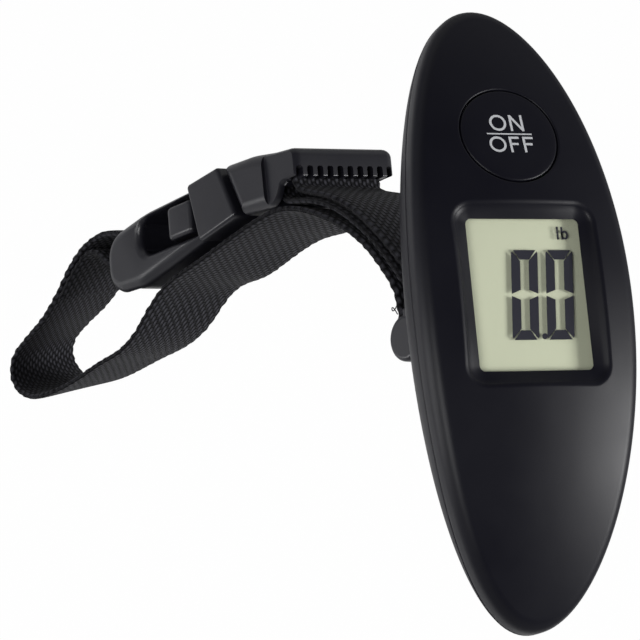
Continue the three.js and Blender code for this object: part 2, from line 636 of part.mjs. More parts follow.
function hangerBolt() {
  const shank = rod('z', BOLT_R, PIVOT_Z, CELL_TOP_Z + NUT_HEIGHT, [0, 0, 0]);
  const low = CELL_BOTTOM_Z - BOLT_SHOULDER;
  const shoulder = rod('z', BOLT_SHOULDER_R, low, CELL_BOTTOM_Z, [0, 0, 0]);
  const eye = rod('y', EYE_R, -EYE_WIDTH / 2, EYE_WIDTH / 2, [0, 0, PIVOT_Z]);
  const hole = rod('y', HANGER_PIN_R + PIN_GAP, -EYE_WIDTH, EYE_WIDTH, [0, 0, PIVOT_Z], 20);
  return shank.add(shoulder).add(eye).subtract(hole);
}

function hangerNut() {
  const body = rod('z', NUT_R, CELL_TOP_Z, CELL_TOP_Z + NUT_HEIGHT, [0, 0, 0], 6);
  return body.subtract(rod('z', BOLT_R + PIN_GAP, BACK_Z, CROWN, [0, 0, 0], 24));
}

function hangerYoke() {
  const ears = rod('y', EYE_R, -EAR_OUT, EAR_OUT, [0, 0, 0]);
  const cheeks = rod('x', CHEEK_R, -CHEEK_OUT, CHEEK_OUT, [0, 0, -STRAP_PIN_DROP], 36);
  const bevel = CHEEK_OUT - YOKE_SHOULDER;
  const bridgeShape = outline([[-CHEEK_OUT, BRIDGE_LOW_Z - YOKE_SHOULDER],
    [CHEEK_OUT, BRIDGE_LOW_Z - YOKE_SHOULDER], [CHEEK_OUT, BRIDGE_TOP_Z - YOKE_SHOULDER],
    [bevel, BRIDGE_TOP_Z], [-bevel, BRIDGE_TOP_Z], [-CHEEK_OUT, BRIDGE_TOP_Z - YOKE_SHOULDER]]);
  const options = { depth: 2 * EAR_OUT, bevelEnabled: false };
  const bridge = new THREE.ExtrudeGeometry(bridgeShape, options);
  bridge.rotateX(Math.PI / 2);
  bridge.translate(0, EAR_OUT, 0);
  const room = box([-CHEEK_IN, -CHEEK_R - 1, -STRAP_PIN_DROP - CHEEK_R - 1],
    [CHEEK_IN, CHEEK_R + 1, BRIDGE_LOW_Z]);
  const slot = box([-EYE_R - GAP, -EAR_IN, -CHEEK_R], [EYE_R + GAP, EAR_IN, EYE_R + 1]);
  const pinHole = rod('y', HANGER_PIN_R + PIN_GAP, -EAR_OUT - 1, EAR_OUT + 1, [0, 0, 0], 20);
  const strapHole = rod('x', STRAP_PIN_R + PIN_GAP, -CHEEK_OUT - 1, CHEEK_OUT + 1,
    [0, 0, -STRAP_PIN_DROP]);
  return ears.add(cheeks).add(solidOf(bridge)).subtract(room).subtract(slot)
    .subtract(pinHole).subtract(strapHole);
}

function hangerPin() {
  return rod('y', HANGER_PIN_R, -EAR_OUT + PIN_SUNK, EAR_OUT - PIN_SUNK, [0, 0, 0], 20);
}

function strapPin() {
  return rod('x', STRAP_PIN_R, -CHEEK_OUT + PIN_SUNK, CHEEK_OUT - PIN_SUNK, [0, 0, 0]);
}

// ---- webbing ------------------------------------------------------------------------------
// A stretch of the strap's route round a pin or bar, in degrees from +Y towards +Z.
function round({ y, z }, radius, from, to, steps) {
  return Array.from({ length: steps + 1 }, (_, i) => {
    const angle = THREE.MathUtils.degToRad(from + (to - from) * i / steps);
    return [y + radius * Math.cos(angle), z + radius * Math.sin(angle), 0];
  });
}

// The strap's near edge as [y, z, skew], from its loose tail to its sewn end.
const BAR_WRAP_R = FEMALE_BAR.r + GAP + WEB_THICK / 2;
const ROUTE = [
  [24.9, -10.2, 0], [30.5, -16.1, 0], [35.0, -23.0, 0], [37.6, -29.2, 0], [39.0, -32.4, 0],
  [40.4, -34.1, 0], [42.6, -34.4, 0], [44.7, -34.2, 0], [46.2, -35.2, 0], [46.7, -36.8, 0],
  [46.2, -38.4, 0], [44.7, -39.3, 0], [42.0, -39.4, 0], [39.6, -39.2, 0], [38.0, -37.6, 0],
  [37.2, -34.5, 0], [36.0, -30.0, 0], [33.2, -23.7, 0], [29.0, -17.5, 0], [23.5, -11.5, 0],
  [17.5, -6.5, 0], [11.5, -2.2, 0], [6.6, 1.3, 0],
  ...round({ y: 0, z: 0 }, WRAP_R, 70, 270, 8),
  [5.2, -3.8, 0], [10.4, -4.9, 0], [16.2, -8.5, 0], [22.1, -13.3, 0], [27.2, -19.4, 0],
  [31.0, -26.0, 0], [33.4, -32.5, 0], [34.9, -39.5, 0], [35.4, -46.5, 0], [35.2, -54.5, 0],
  [34.1, -62.5, 0], [32.4, -70.5, 0], [30.2, -78.5, 0], [27.8, -86.0, 0.05], [24.6, -93.0, 0.2],
  [20.8, -99.5, 0.4], [18.0, -107.0, 0.6], [16.6, -116.0, 0.75], [15.7, -126.0, 0.85],
  [15.1, -136.0, 0.95], [15.6, -144.5, 1], [18.6, -151.0, 1], [23.4, -154.0, 1],
  [27.9, -152.2, 1], [31.0, -146.0, 1], [34.4, -138.0, 0.9], [39.0, -131.0, 0.75],
  [44.0, -125.0, 0.5], [47.6, -118.5, 0.25], [48.9, -111.5, 0.05], [48.4, -106.5, 0],
  [47.0, -102.4, 0], ...round(FEMALE_BAR, BAR_WRAP_R, 0, 180, 8),
  [38.6, -103.5, 0], [41.6, -108.6, 0], [45.3, -113.0, 0.1], [45.6, -117.8, 0.25],
  [42.4, -123.8, 0.5], [37.7, -129.6, 0.75],
];

function webbing() {
  const points = ROUTE.map(([y, z, skew]) => new THREE.Vector3(skew, y, z));
  const curve = new THREE.CatmullRomCurve3(points, false, 'catmullrom', 0.5);
  const stations = curve.getPoints(2 * (points.length - 1));
  const rings = stations.map((here, i) => {
    const before = stations[Math.max(i - 1, 0)];
    const after = stations[Math.min(i + 1, stations.length - 1)];
    const [dy, dz] = [after.y - before.y, after.z - before.z];
    const half = WEB_THICK / 2 / Math.hypot(dy, dz);
    const normal = [-dz * half, dy * half];
    const near = [-WEB_WIDTH / 2, here.y, here.z];
    const far = [WEB_WIDTH / 2, here.y + here.x * WEB_SKEW[0], here.z + here.x * WEB_SKEW[1]];
    const off = ([x, y, z], sign) => [x, y + sign * normal[0], z + sign * normal[1]];
    return [off(near, -1), off(far, -1), off(far, 1), off(near, 1)];
  });
  const middle = (ring) => [0, 1, 2].map((k) => ring.reduce((sum, p) => sum + p[k], 0) / 4);
  return ringSolid(rings, middle(rings[0]), middle(rings.at(-1)));
}

// ---- buckle -------------------------------------------------------------------------------
function buckleFemale() {
  const side = [[49.2, -66], [49, -78], [48, -90.3], [46.4, -97], [44.6, -101], [42.1, -104],
    [38.3, -104.3], [34.8, -102.4], [32.4, -98.6], [31.6, -95], [32, -91.4], [34.3, -80], [36.6, -66]];
  const body = acrossStrap(side, -FEMALE_HALF, FEMALE_HALF);
  const rim = [[49.3, -69], [50.4, -55.2], [38.1, -49.6], [35.9, -65.5]];
  const collar = acrossStrap(rim, -COLLAR_HALF, COLLAR_HALF);
  const wide = COLLAR_HALF + 1;
  const innerHalf = PRONG_X + PRONG_THICK / 2 + 1.6;
  const mouth = box([-innerHalf, PRONG_Y - PRONG_HEIGHT / 2 - GAP, -90],
    [innerHalf, PRONG_Y + PRONG_HEIGHT / 2 + GAP, -40]);
  const windows = box([-wide, PRONG_Y - PAD_HEIGHT / 2 - GAP, -91],
    [wide, PRONG_Y + PAD_HEIGHT / 2 + GAP, PAD_Z[0] + CATCH_GAP]);
  const slotZ = FEMALE_BAR.z + BAR_WRAP_R + WEB_THICK / 2 + GAP;
  const webSlot = box([-CHEEK_IN, 0, FEMALE_BAR.z - 20], [CHEEK_IN, 90, slotZ]);
  const barHalf = CHEEK_IN + 0.5;
  const bar = rod('x', FEMALE_BAR.r, -barHalf, barHalf, [0, FEMALE_BAR.y, FEMALE_BAR.z]);
  return body.add(collar).subtract(mouth).subtract(windows).subtract(webSlot).add(bar);
}

function buckleMale() {
  const side = [[38.4, -49.1], [37.7, -46.5], [38.2, -42], [40.2, -37], [41, -33.2], [41, -30.2],
    [47.2, -30.2], [47.9, -36], [49.3, -41], [50.2, -47], [50.6, -54.7]];
  const body = acrossStrap(side, -MALE_HALF, MALE_HALF);
  const { y, z, high, deep } = MALE_BAR;
  const room = deep / 2 + WEB_THICK + 2 * GAP + 0.2;
  const slot = box([-CHEEK_IN, 0, z - room], [CHEEK_IN, 90, z + room]);
  const bar = box([-CHEEK_IN - 0.5, y - high / 2, z - deep / 2],
    [CHEEK_IN + 0.5, y + high / 2, z + deep / 2]);
  const tongue = box([-TONGUE_HALF, PRONG_Y - 2, TONGUE_END_Z], [TONGUE_HALF, PRONG_Y + 2, -48]);
  let male = body.subtract(slot).add(bar).add(tongue);
  [-1, 1].forEach((side) => {
    const inX = side * PRONG_X - PRONG_THICK / 2;
    male = male.add(box([inX, PRONG_Y - PRONG_HEIGHT / 2, PRONG_ROOT_Z + GAP],
      [inX + PRONG_THICK, PRONG_Y + PRONG_HEIGHT / 2, -46]));
  });
  for (let i = 0; i < COMB_GAPS; i += 1) {
    const x = (i - (COMB_GAPS - 1) / 2) * COMB_PITCH;
    male = male.subtract(box([x - COMB_GAP / 2, 40, -31.6], [x + COMB_GAP / 2, 41 + COMB_DEPTH, -29]));
  }
  return male;
}

// One prong, about its own root: an arm, a finger pad that catches in the window, and a nose.
function prong(side) {
  const [half, high] = [PRONG_THICK / 2, PRONG_HEIGHT / 2];
  const reach = PAD_REACH - PRONG_X;
  const arm = box([-half, -high, PAD_Z[1] - PRONG_ROOT_Z], [half, high, -GAP / 2]);
  const [top, low] = PAD_Z.map((z) => z - PRONG_ROOT_Z);
  const corners = [[-half, -top], [reach, -top], [reach, -low], [half, -low + PAD_NOSE],
    [-half, -low + PAD_NOSE]];
  const pad = outline(corners.map(([x, down]) => [side * x, down]));
  const geometry = new THREE.ExtrudeGeometry(pad, { depth: PAD_HEIGHT, bevelEnabled: false });
  geometry.rotateX(-Math.PI / 2);
  geometry.translate(0, -PAD_HEIGHT / 2, 0);
  return arm.add(solidOf(geometry));
}

// ---- assembly -----------------------------------------------------------------------------
const scale = new THREE.Group();
add(scale, 'front_shell', frontShell(), 'shell');
add(scale, 'rear_shell', rearShell(), 'shell');
add(scale, 'display_lens', displayLens(), 'lens');
add(scale, 'lcd_glass', lcdGlass(), 'lcd');
add(scale, 'lcd_holder', lcdHolder(), 'holder');
add(scale, 'zebra_strip_top', zebraStrip(1), 'zebra');
add(scale, 'zebra_strip_bottom', zebraStrip(-1), 'zebra');
add(scale, 'main_board', mainBoard(), 'board');
add(scale, 'chip_blob', chipBlob(), 'blob');
add(scale, 'on_off_button', onOffButton(), 'button');
add(scale, 'switch_body', switchBody(), 'plastic');
add(scale, 'switch_plunger', switchPlunger(), 'plastic');
add(scale, 'load_cell', loadCell(), 'cell');
add(scale, 'strain_gauge_top', strainGauge(CELL_TOP_Z, CELL_TOP_Z + GAUGE_THICK), 'gauge');
add(scale, 'strain_gauge_bottom', strainGauge(CELL_BOTTOM_Z - GAUGE_THICK, CELL_BOTTOM_Z), 'gauge');
add(scale, 'gauge_leads', gaugeLeads(), 'zebra');
CELL_SCREW_YS.forEach((y, i) => add(scale, `load_cell_screw_${i + 1}`, cellScrew(y), 'steel'));
CASE_SCREWS.forEach((at, i) => add(scale, `case_screw_${i + 1}`, caseScrew(at), 'steel'));
add(scale, 'battery', battery(), 'battery');
add(scale, 'battery_cover', batteryCover(), 'shell');
add(scale, 'contact_top', contactTop(), 'metal');
add(scale, 'contact_edge', contactEdge(), 'metal');
add(scale, 'hanger_bolt', hangerBolt(), 'steel');
add(scale, 'hanger_nut', hangerNut(), 'steel');

const hanger = new THREE.Group();
hanger.position.z = PIVOT_Z;
hanger.rotation.y = LEAN;
scale.add(hanger);
add(hanger, 'hanger_yoke', hangerYoke(), 'plastic');
add(hanger, 'hanger_pin', hangerPin(), 'steel');

const strap = new THREE.Group();
strap.position.z = -STRAP_PIN_DROP;
hanger.add(strap);
add(strap, 'strap_pin', strapPin(), 'steel');
add(strap, 'webbing', webbing(), 'webbing');
add(strap, 'buckle_female', buckleFemale(), 'plastic');
add(strap, 'buckle_male', buckleMale(), 'plastic');
[['buckle_prong_left', -1], ['buckle_prong_right', 1]].forEach(([name, side]) => {
  const mesh = add(strap, name, prong(side), 'plastic');
  mesh.position.set(side * PRONG_X, PRONG_Y, PRONG_ROOT_Z);
});

export default scale;
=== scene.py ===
# %% [markdown]
# # A digital luggage scale
# A hand holds the arched oval handle, and a bag hangs from the webbing strap under it. The working
# parts come from a packed mechanical model; this script gives them their looks. Every new surface
# is a formula on a grid of two parameters, worked out with numpy, in the model's own frame.

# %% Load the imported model
import bpy
import numpy as np
from mathutils import Matrix, Vector
from mathutils.geometry import delaunay_2d_cdt


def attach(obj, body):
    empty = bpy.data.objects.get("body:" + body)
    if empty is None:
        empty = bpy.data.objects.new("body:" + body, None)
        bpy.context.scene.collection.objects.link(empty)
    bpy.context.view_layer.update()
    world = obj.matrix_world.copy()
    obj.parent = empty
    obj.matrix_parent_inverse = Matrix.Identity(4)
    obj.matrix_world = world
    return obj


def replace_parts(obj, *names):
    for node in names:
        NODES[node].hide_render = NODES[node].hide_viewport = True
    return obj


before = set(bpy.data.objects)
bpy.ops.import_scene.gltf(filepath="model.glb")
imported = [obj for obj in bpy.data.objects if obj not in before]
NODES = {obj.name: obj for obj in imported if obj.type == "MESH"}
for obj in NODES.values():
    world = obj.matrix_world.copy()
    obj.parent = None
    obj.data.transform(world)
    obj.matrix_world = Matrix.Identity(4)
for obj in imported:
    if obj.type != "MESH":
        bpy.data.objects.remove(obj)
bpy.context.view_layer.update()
SCENE = bpy.context.scene
SCENE.view_settings.view_transform = "Standard"

# %% [markdown]
# ## Camera
# A long lens keeps the handle free of perspective swelling. The camera stands to the left of the
# handle and a little below its middle, so it sees the display, the left flank and the strap.

# %% Camera
FOCAL_LENGTH, SENSOR = 142.1, 36
CAMERA_AT = Vector((-0.20386, -0.11103, 0.44485))
CAMERA_AXES = Matrix(((0.9443, 0.0087, -0.329), (-0.0856, 0.9717, -0.2202), (0.3177, 0.2361, 0.9183)))
camera_data = bpy.data.cameras.new("camera")
camera_data.lens, camera_data.sensor_width = FOCAL_LENGTH, SENSOR
camera = bpy.data.objects.new("camera", camera_data)
camera.matrix_world = Matrix.Translation(CAMERA_AT) @ CAMERA_AXES.to_4x4()
SCENE.collection.objects.link(camera)
SCENE.camera = camera
print("camera", round(CAMERA_AT.length, 3), "m from the handle's middle")

# %% [markdown]
# ## Small tools for grids
# A few helpers do most of the work below. Points are in millimetres, because that is how such a
# product is drawn, and become metres only when a mesh is made.

# %% Mesh from points and faces
MM = 0.001
SAME_POINT = 1e-7


def welded(obj):
    """obj with its doubled points made one and its normals turned outward."""
    bpy.context.view_layer.objects.active = obj
    for other in bpy.context.selected_objects:
        other.select_set(False)
    obj.select_set(True)
    bpy.ops.object.mode_set(mode="EDIT")
    bpy.ops.mesh.select_all(action="SELECT")
    bpy.ops.mesh.remove_doubles(threshold=SAME_POINT)
    bpy.ops.mesh.normals_make_consistent(inside=False)
    bpy.ops.object.mode_set(mode="OBJECT")
    return obj


def loose(name, points, faces):
    """A mesh at the origin with its place in its vertices, to cut another or to be cut."""
    mesh = bpy.data.meshes.new(name)
    mesh.from_pydata((np.asarray(points) * MM).tolist(), [], [list(map(int, f)) for f in faces])
    obj = bpy.data.objects.new(name, mesh)
    SCENE.collection.objects.link(obj)
    return welded(obj)


def dress(obj, body, slot, material, sharp=40):
    """Smooth shading, with edges bent by more than `sharp` degrees crisp, a material, and the body
    that the piece rides on."""
    mesh = welded(obj).data
    mesh.shade_smooth()
    mesh.set_sharp_from_angle(angle=np.radians(sharp))
    mesh.materials.clear()
    mesh.materials.append(material)
    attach(obj, body)
    return obj


def piece(name, points, faces, *looks):
    """A mesh from points and faces, dressed at once."""
    return dress(loose(name, points, faces), *looks)


def strips(rows, closed=True):
    """Quads between neighbouring rows of a grid given as (number of rows, points in a row)."""
    count, width = rows
    r = np.arange(count - 1)[:, None] * width
    c = np.arange(width if closed else width - 1)[None, :]
    n = (c + 1) % width
    return np.stack([r + c, r + n, r + width + n, r + width + c], -1).reshape(-1, 4).tolist()


def skin(loops):
    """Rings of points, joined row to row, as (points, faces)."""
    return np.vstack(loops), strips((len(loops), len(loops[0])))


def polar(angle):
    """Points on the unit circle at those angles."""
    return np.stack([np.cos(angle), np.sin(angle)], 1)


def turns(count):
    """That many angles, evenly spaced round a circle."""
    return np.linspace(0, 2 * np.pi, count, endpoint=False)


def inside(points, loop):
    """Which points lie inside a closed loop: each edge that a ray to the right crosses flips it."""
    x, y = points[:, :1], points[:, 1:2]
    a, b = loop, np.roll(loop, -1, 0)
    spans = (a[:, 1] > y) != (b[:, 1] > y)
    rise = np.where(np.abs(b[:, 1] - a[:, 1]) < 1e-12, 1e-12, b[:, 1] - a[:, 1])
    cross = a[:, 0] + (y - a[:, 1]) / rise * (b[:, 0] - a[:, 0])
    return (spans & (x < cross)).sum(1) % 2 == 1


def fill(outer, holes=(), extra=None):
    """Triangles over a flat outline and round its holes. Returns all the points, the outline's
    first, then each hole's, then the extra ones, and the triangles."""
    loops = [np.asarray(outer), *[np.asarray(h) for h in holes]]
    edges, start = [], 0
    for loop in loops:
        edges += [(start + i, start + (i + 1) % len(loop)) for i in range(len(loop))]
        start += len(loop)
    points = np.vstack(loops + ([extra] if extra is not None and len(extra) else []))
    made = delaunay_2d_cdt([Vector(p) for p in points], edges, [], 0, SAME_POINT)
    back = np.array([orig[0] if orig else 0 for orig in made[3]])
    triangles = back[np.array(made[2])]
    middles = points[triangles].mean(1)
    keep = inside(middles, loops[0])
    for hole in loops[1:]:
        keep &= ~inside(middles, hole)
    return points, triangles[keep]


print("grid helpers ready")

# %% [markdown]
# ## Rounded outlines
# Moulded parts have no sharp corner: each corner of an outline is an arc, and each rim of the
# prism raised from it is a quarter round. An outline is kept as a function of how far it is moved
# in, so that its arcs stay arcs: a convex one loses that distance from its radius, a hollow one
# gains it.

# %% Outline with round corners
def unit(v):
    """Each vector divided by its length."""
    return v / np.maximum(np.linalg.norm(v, axis=-1), 1e-12)[..., None]


NEARLY_STRAIGHT = 1.5


def arc_at(corner, before, after, radius, steps):
    """Points on the circle of that radius that touches both sides of a corner."""
    a, b = unit(before - corner), unit(after - corner)
    half = np.arccos(np.clip(a @ b, -1, 1)) / 2
    longest = 0.49 * min(np.linalg.norm(before - corner), np.linalg.norm(after - corner))
    reach = min(radius / np.tan(half), longest)
    p, q = corner + a * reach, corner + b * reach
    if half > NEARLY_STRAIGHT:
        return p + (q - p) * np.linspace(0, 1, steps + 1)[:, None]
    centre = corner + unit(a + b) * reach / np.cos(half)
    start, end = np.arctan2(*(p - centre)[::-1]), np.arctan2(*(q - centre)[::-1])
    turn = (end - start + np.pi) % (2 * np.pi) - np.pi
    return centre + reach * np.tan(half) * polar(start + turn * np.linspace(0, 1, steps + 1))


def outline(corners, radii, steps=6):
    """A closed outline through corner points with a radius at each, as a function of inset."""
    corners = np.asarray(corners, float)
    radii = np.broadcast_to(np.asarray(radii, float), len(corners))
    following = np.roll(corners, -1, 0)
    turn = np.sign((corners[:, 0] * following[:, 1] - corners[:, 1] * following[:, 0]).sum())
    ahead, behind = unit(following - corners), unit(corners - np.roll(corners, 1, 0))
    inward = lambda v: turn * np.stack([-v[:, 1], v[:, 0]], 1)
    shift = inward(ahead) + inward(behind)
    shift /= (1 + (inward(ahead) * inward(behind)).sum(1))[:, None]
    convex = turn * (behind[:, 0] * ahead[:, 1] - behind[:, 1] * ahead[:, 0]) > 0

    def at(inset):
        moved = corners + shift * inset
        r = np.where(convex, np.maximum(radii - inset, 0.02), radii + inset)
        return np.vstack([arc_at(*four, steps) for four in
                          zip(moved, np.roll(moved, 1, 0), np.roll(moved, -1, 0), r)])
    return at


def circle(radius, centre=(0.0, 0.0), count=48):
    """A round outline as a function of inset."""
    return lambda inset: np.array(centre) + (radius - inset) * polar(turns(count))


def box_outline(x0, x1, y0, y1, radius, steps=6):
    """A rectangle between x0 and x1, y0 and y1, with one radius at its corners."""
    return outline([(x0, y0), (x1, y0), (x1, y1), (x0, y1)], radius, steps)


# %% Prism with rounded rims
SUPPORT = 0.12


def at_height(flat, z):
    """(x, y) points given one height, or a height each."""
    return np.column_stack([flat, np.broadcast_to(z, len(flat))])


def quarter(radius, steps):
    """(in, down) from the flat face round a convex edge to the wall: radius * (1 - sin a) and
    radius * (1 - cos a), for a from 0 to 90 degrees."""
    a = np.linspace(0, np.pi / 2, steps + 1)
    return radius * (1 - np.sin(a)), radius * (1 - np.cos(a))


def capped(shape, insets, levels):
    """The outline at each inset, carried to its level along w, with both ends filled."""
    loops = [shape(inset) for inset in insets]
    points, faces = skin([at_height(loop, level) for loop, level in zip(loops, levels)])
    apart = np.linalg.norm(loops[0] - np.roll(loops[0], 1, 0), axis=1) > 1e-6
    ends = np.flatnonzero(apart)
    cap = ends[fill(loops[0][ends])[1]]
    return points, faces + cap.tolist() + (cap + (len(loops) - 1) * len(loops[0])).tolist()


def filleted_prism(shape, low, high, radius, steps=5):
    """An outline in (u, v) carried along w from low to high, with a quarter round at each end. One
    more ring beside each rim keeps its shading off the flat faces."""
    inset, rise = quarter(radius, steps)
    inset = np.concatenate([[radius + SUPPORT], inset, [0]])
    rise = np.concatenate([[0], rise, [radius + SUPPORT]])
    return capped(shape, [*inset, *inset[::-1]], [*(low + rise), *(high - rise[::-1])])


def flared_prism(shape, reach, radius, beyond=2.0, steps=6):
    """A cutter that leaves a rounded edge: its outline grows by a quarter round as w nears the
    surface at +-reach."""
    grow, rise = quarter(radius, steps)
    grow = np.concatenate([[radius], grow, [0]])
    w = reach + np.concatenate([[beyond], -rise, [-radius - 0.5]])
    return capped(shape, [*-grow, *-grow[::-1]], [*-w, *w[::-1]])


def merged(*parts):
    """Several (points, faces) lists as one."""
    points, faces, start = [], [], 0
    for p, f in parts:
        points.append(p)
        faces += [[i + start for i in face] for face in f]
        start += len(p)
    return np.vstack(points), faces


def carved(obj, cutter):
    """obj with the cutter's space taken out of it, as one finished mesh."""
    cut = obj.modifiers.new("cut", "BOOLEAN")
    cut.operation = "DIFFERENCE"
    cut.solver = "EXACT"
    cut.object = cutter
    bpy.context.view_layer.update()
    mesh = bpy.data.meshes.new_from_object(obj.evaluated_get(bpy.context.evaluated_depsgraph_get()))
    obj.modifiers.clear()
    old, obj.data = obj.data, mesh
    bpy.data.meshes.remove(old)
    spent = cutter.data
    bpy.data.objects.remove(cutter)
    bpy.data.meshes.remove(spent)
    return obj


print("outline helpers ready")

# %% [markdown]
# ## Effects shared by several finishes
# Moulded plastic is never one value all over: the tool leaves a fine grain, and handling leaves
# faint clouds of polish. One node group makes both and puts out only values.

# %% Node helpers
def feed(socket, value):
    """Give a socket a number, a colour or another node's output."""
    if isinstance(value, bpy.types.NodeSocket):
        socket.id_data.links.new(value, socket)
    else:
        socket.default_value = (*value, 1) if socket.type == "RGBA" else value


def settle(node, **sockets):
    """Give a node's inputs by name, with _ for a space."""
    for label, value in sockets.items():
        feed(node.inputs[label.replace("_", " ")], value)
    return node


def add(tree, kind, **sockets):
    """A new shader node of a kind, with its inputs by name."""
    return settle(tree.nodes.new("ShaderNode" + kind), **sockets)


def use(tree, node_group, **sockets):
    """The outputs of a node that runs a group."""
    node = tree.nodes.new("ShaderNodeGroup")
    node.node_tree = node_group
    return settle(node, **sockets).outputs


def math(tree, operation, *operands):
    """A Math node's output."""
    node = tree.nodes.new("ShaderNodeMath")
    node.operation = operation
    for socket, value in zip(node.inputs, operands):
        feed(socket, value)
    return node.outputs[0]


def noise(tree, vector, scale, detail=2.0, rough=0.5):
    """A noise from 0 to 1 over a place; a higher scale makes it finer."""
    return add(tree, "TexNoise", Vector=vector, Scale=scale, Detail=detail, Roughness=rough).outputs["Fac"]


def blend(tree, factor, a, b):
    """A colour between a and b."""
    node = tree.nodes.new("ShaderNodeMix")
    node.data_type = "RGBA"
    return settle(node, Factor=factor, A=a, B=b).outputs["Result"]


def coordinate(tree, kind="Object"):
    """Where a shaded point is, in the piece's own metres unless another kind is named."""
    return tree.nodes.new("ShaderNodeTexCoord").outputs[kind]


def camera_ray(tree):
    """1 for what the camera sees straight, 0 for light that bounces."""
    return tree.nodes.new("ShaderNodeLightPath").outputs["Is Camera Ray"]


def relief(tree, shader, height, strength, depth):
    """Let the shader's normal follow a height that is `depth` mm deep."""
    bump = add(tree, "Bump", Strength=strength, Distance=depth * MM, Height=height)
    feed(shader.inputs["Normal"], bump.outputs["Normal"])


def group(name, inputs):
    """A shader node group with float inputs, given as name: default, and what they bring in."""
    tree = bpy.data.node_groups.new(name, "ShaderNodeTree")
    for label, default in inputs.items():
        socket = tree.interface.new_socket(name=label, in_out="INPUT", socket_type="NodeSocketFloat")
        socket.default_value = default
    return tree, tree.nodes.new("NodeGroupInput").outputs


def put_out(tree, **results):
    """The group's float outputs, one for each named result."""
    for label in results:
        tree.interface.new_socket(name=label, in_out="OUTPUT", socket_type="NodeSocketFloat")
    settle(tree.nodes.new("NodeGroupOutput"), **results)
    print("node group", tree.name)


# %% Moulded grain
grain_group, given = group(
    "moulded grain", {"Grain scale": 2500.0, "Cloud scale": 45.0, "Roughness": 0.4, "Spread": 0.12})
place = coordinate(grain_group)
fine = noise(grain_group, place, given["Grain scale"], 3.0, 0.6)
cloud = noise(grain_group, place, given["Cloud scale"], 4.0, 0.55)
spread = math(grain_group, "MULTIPLY", math(grain_group, "SUBTRACT", cloud, 0.5), given["Spread"])
rough = math(grain_group, "MULTIPLY_ADD", spread, 2.0, given["Roughness"])
put_out(grain_group, Roughness=rough, Height=fine, Cloud=cloud)

# %% [markdown]
# ## Webbing weave
# Polypropylene webbing is a plain weave of flat ribbons. Each warp yarn floats over the weft and
# dives under it, and its neighbour does the opposite, which gives a brick pattern of small
# pillows. The pattern reads the strap's own UV map, in millimetres along and across the strap.

# %% Weave group
weave_group, given = group("webbing weave", {"Along": 2.3, "Across": 1.15})
calc = lambda *operands: math(weave_group, *operands)
uv = weave_group.nodes.new("ShaderNodeUVMap")
uv.uv_map = "strap"
flat = add(weave_group, "SeparateXYZ", Vector=uv.outputs["UV"]).outputs
wobble = noise(weave_group, uv.outputs["UV"], 0.35)
along = calc("ADD", flat["X"], calc("MULTIPLY", wobble, 0.9))
column = calc("DIVIDE", flat["Y"], given["Across"])
half_step = calc("MULTIPLY", calc("MODULO", calc("FLOOR", column), 2.0), 0.5)
row = calc("ADD", calc("DIVIDE", along, given["Along"]), half_step)
pillow = []
for yarn in (row, column):
    off_middle = calc("ABSOLUTE", calc("SUBTRACT", calc("FRACT", yarn), 0.5))
    pillow.append(calc("SUBTRACT", 1.0, calc("POWER", calc("MULTIPLY", off_middle, 2.0), 2.2)))
rounded = calc("POWER", calc("MULTIPLY", *pillow), 0.5)
stretched = {"X": calc("MULTIPLY", flat["X"], 0.25), "Y": calc("MULTIPLY", flat["Y"], 6.0)}
strand = noise(weave_group, add(weave_group, "CombineXYZ", **stretched).outputs[0], 3.0)
put_out(weave_group, Height=calc("MULTIPLY_ADD", strand, 0.16, rounded), Yarn=rounded)

# %% [markdown]
# ## Finishes
# The handle is satin black, a little rough from the tool. The buckle and the hanger are acetal,
# which is smoother and shows clearer highlights. Each finish keeps its own Principled shader.

# %% Plain material makers
def finish(name, color, **sockets):
    """A material with a Principled shader; the sockets are set by name."""
    material = bpy.data.materials.new(name)
    material.use_nodes = True
    tree = material.node_tree
    return material, tree, settle(tree.nodes["Principled BSDF"], Base_Color=color, **sockets)


def moulded(name, color, lighter, roughness, spread=0.1, grain=2500.0, depth=0.02, **sockets):
    """Moulded plastic: grain in the bump, clouds of polish in the roughness and the colour."""
    material, tree, shader = finish(name, color, **sockets)
    surface = use(tree, grain_group, Grain_scale=grain, Roughness=roughness, Spread=spread)
    clouded = blend(tree, surface["Cloud"], color, lighter)
    settle(shader, Base_Color=clouded, Roughness=surface["Roughness"])
    relief(tree, shader, surface["Height"], 0.35, depth)
    return material


SATIN = ((0.0032, 0.0032, 0.0068), (0.0052, 0.0052, 0.0095))
shell_black = moulded("satin black shell", *SATIN, 0.42, Specular_IOR_Level=0.25)
button_black = moulded("satin black button", *SATIN, 0.40, Specular_IOR_Level=0.27)
acetal = moulded("black acetal", (0.008, 0.008, 0.0115), (0.013, 0.013, 0.018), 0.33,
                 grain=1800.0, depth=0.03, Specular_IOR_Level=0.5)
print("moulded plastics ready")

# %% Webbing, thread and print
webbing_black, tree, shader = finish("black webbing", (0.012, 0.012, 0.014), Roughness=0.72,
                                     Sheen_Weight=0.04, Sheen_Roughness=0.4, Specular_IOR_Level=0.12)
weave = use(tree, weave_group)
# Painted highlight and painted shade: the top of each yarn pillow is painted lighter and the gaps between
# the yarns darker in the base colour.
painted_yarn_highlight = math(tree, "POWER", weave["Yarn"], 4.5)
settle(shader, Base_Color=blend(tree, painted_yarn_highlight, (0.001, 0.001, 0.002), (0.055, 0.055, 0.065)))
relief(tree, shader, weave["Height"], 0.9, 0.28)

thread_black = moulded("sewing thread", (0.02, 0.02, 0.023), (0.05, 0.05, 0.055), 0.6,
                       grain=5000.0, depth=0.05)
print_white = moulded("printed letters", (0.52, 0.53, 0.55), (0.6, 0.61, 0.63), 0.5, spread=0.05)
segment_ink = moulded("display segments", (0.028, 0.028, 0.04), (0.036, 0.036, 0.048), 0.6, spread=0.02,
                      Specular_IOR_Level=0.1)
print("webbing, thread and print ready")

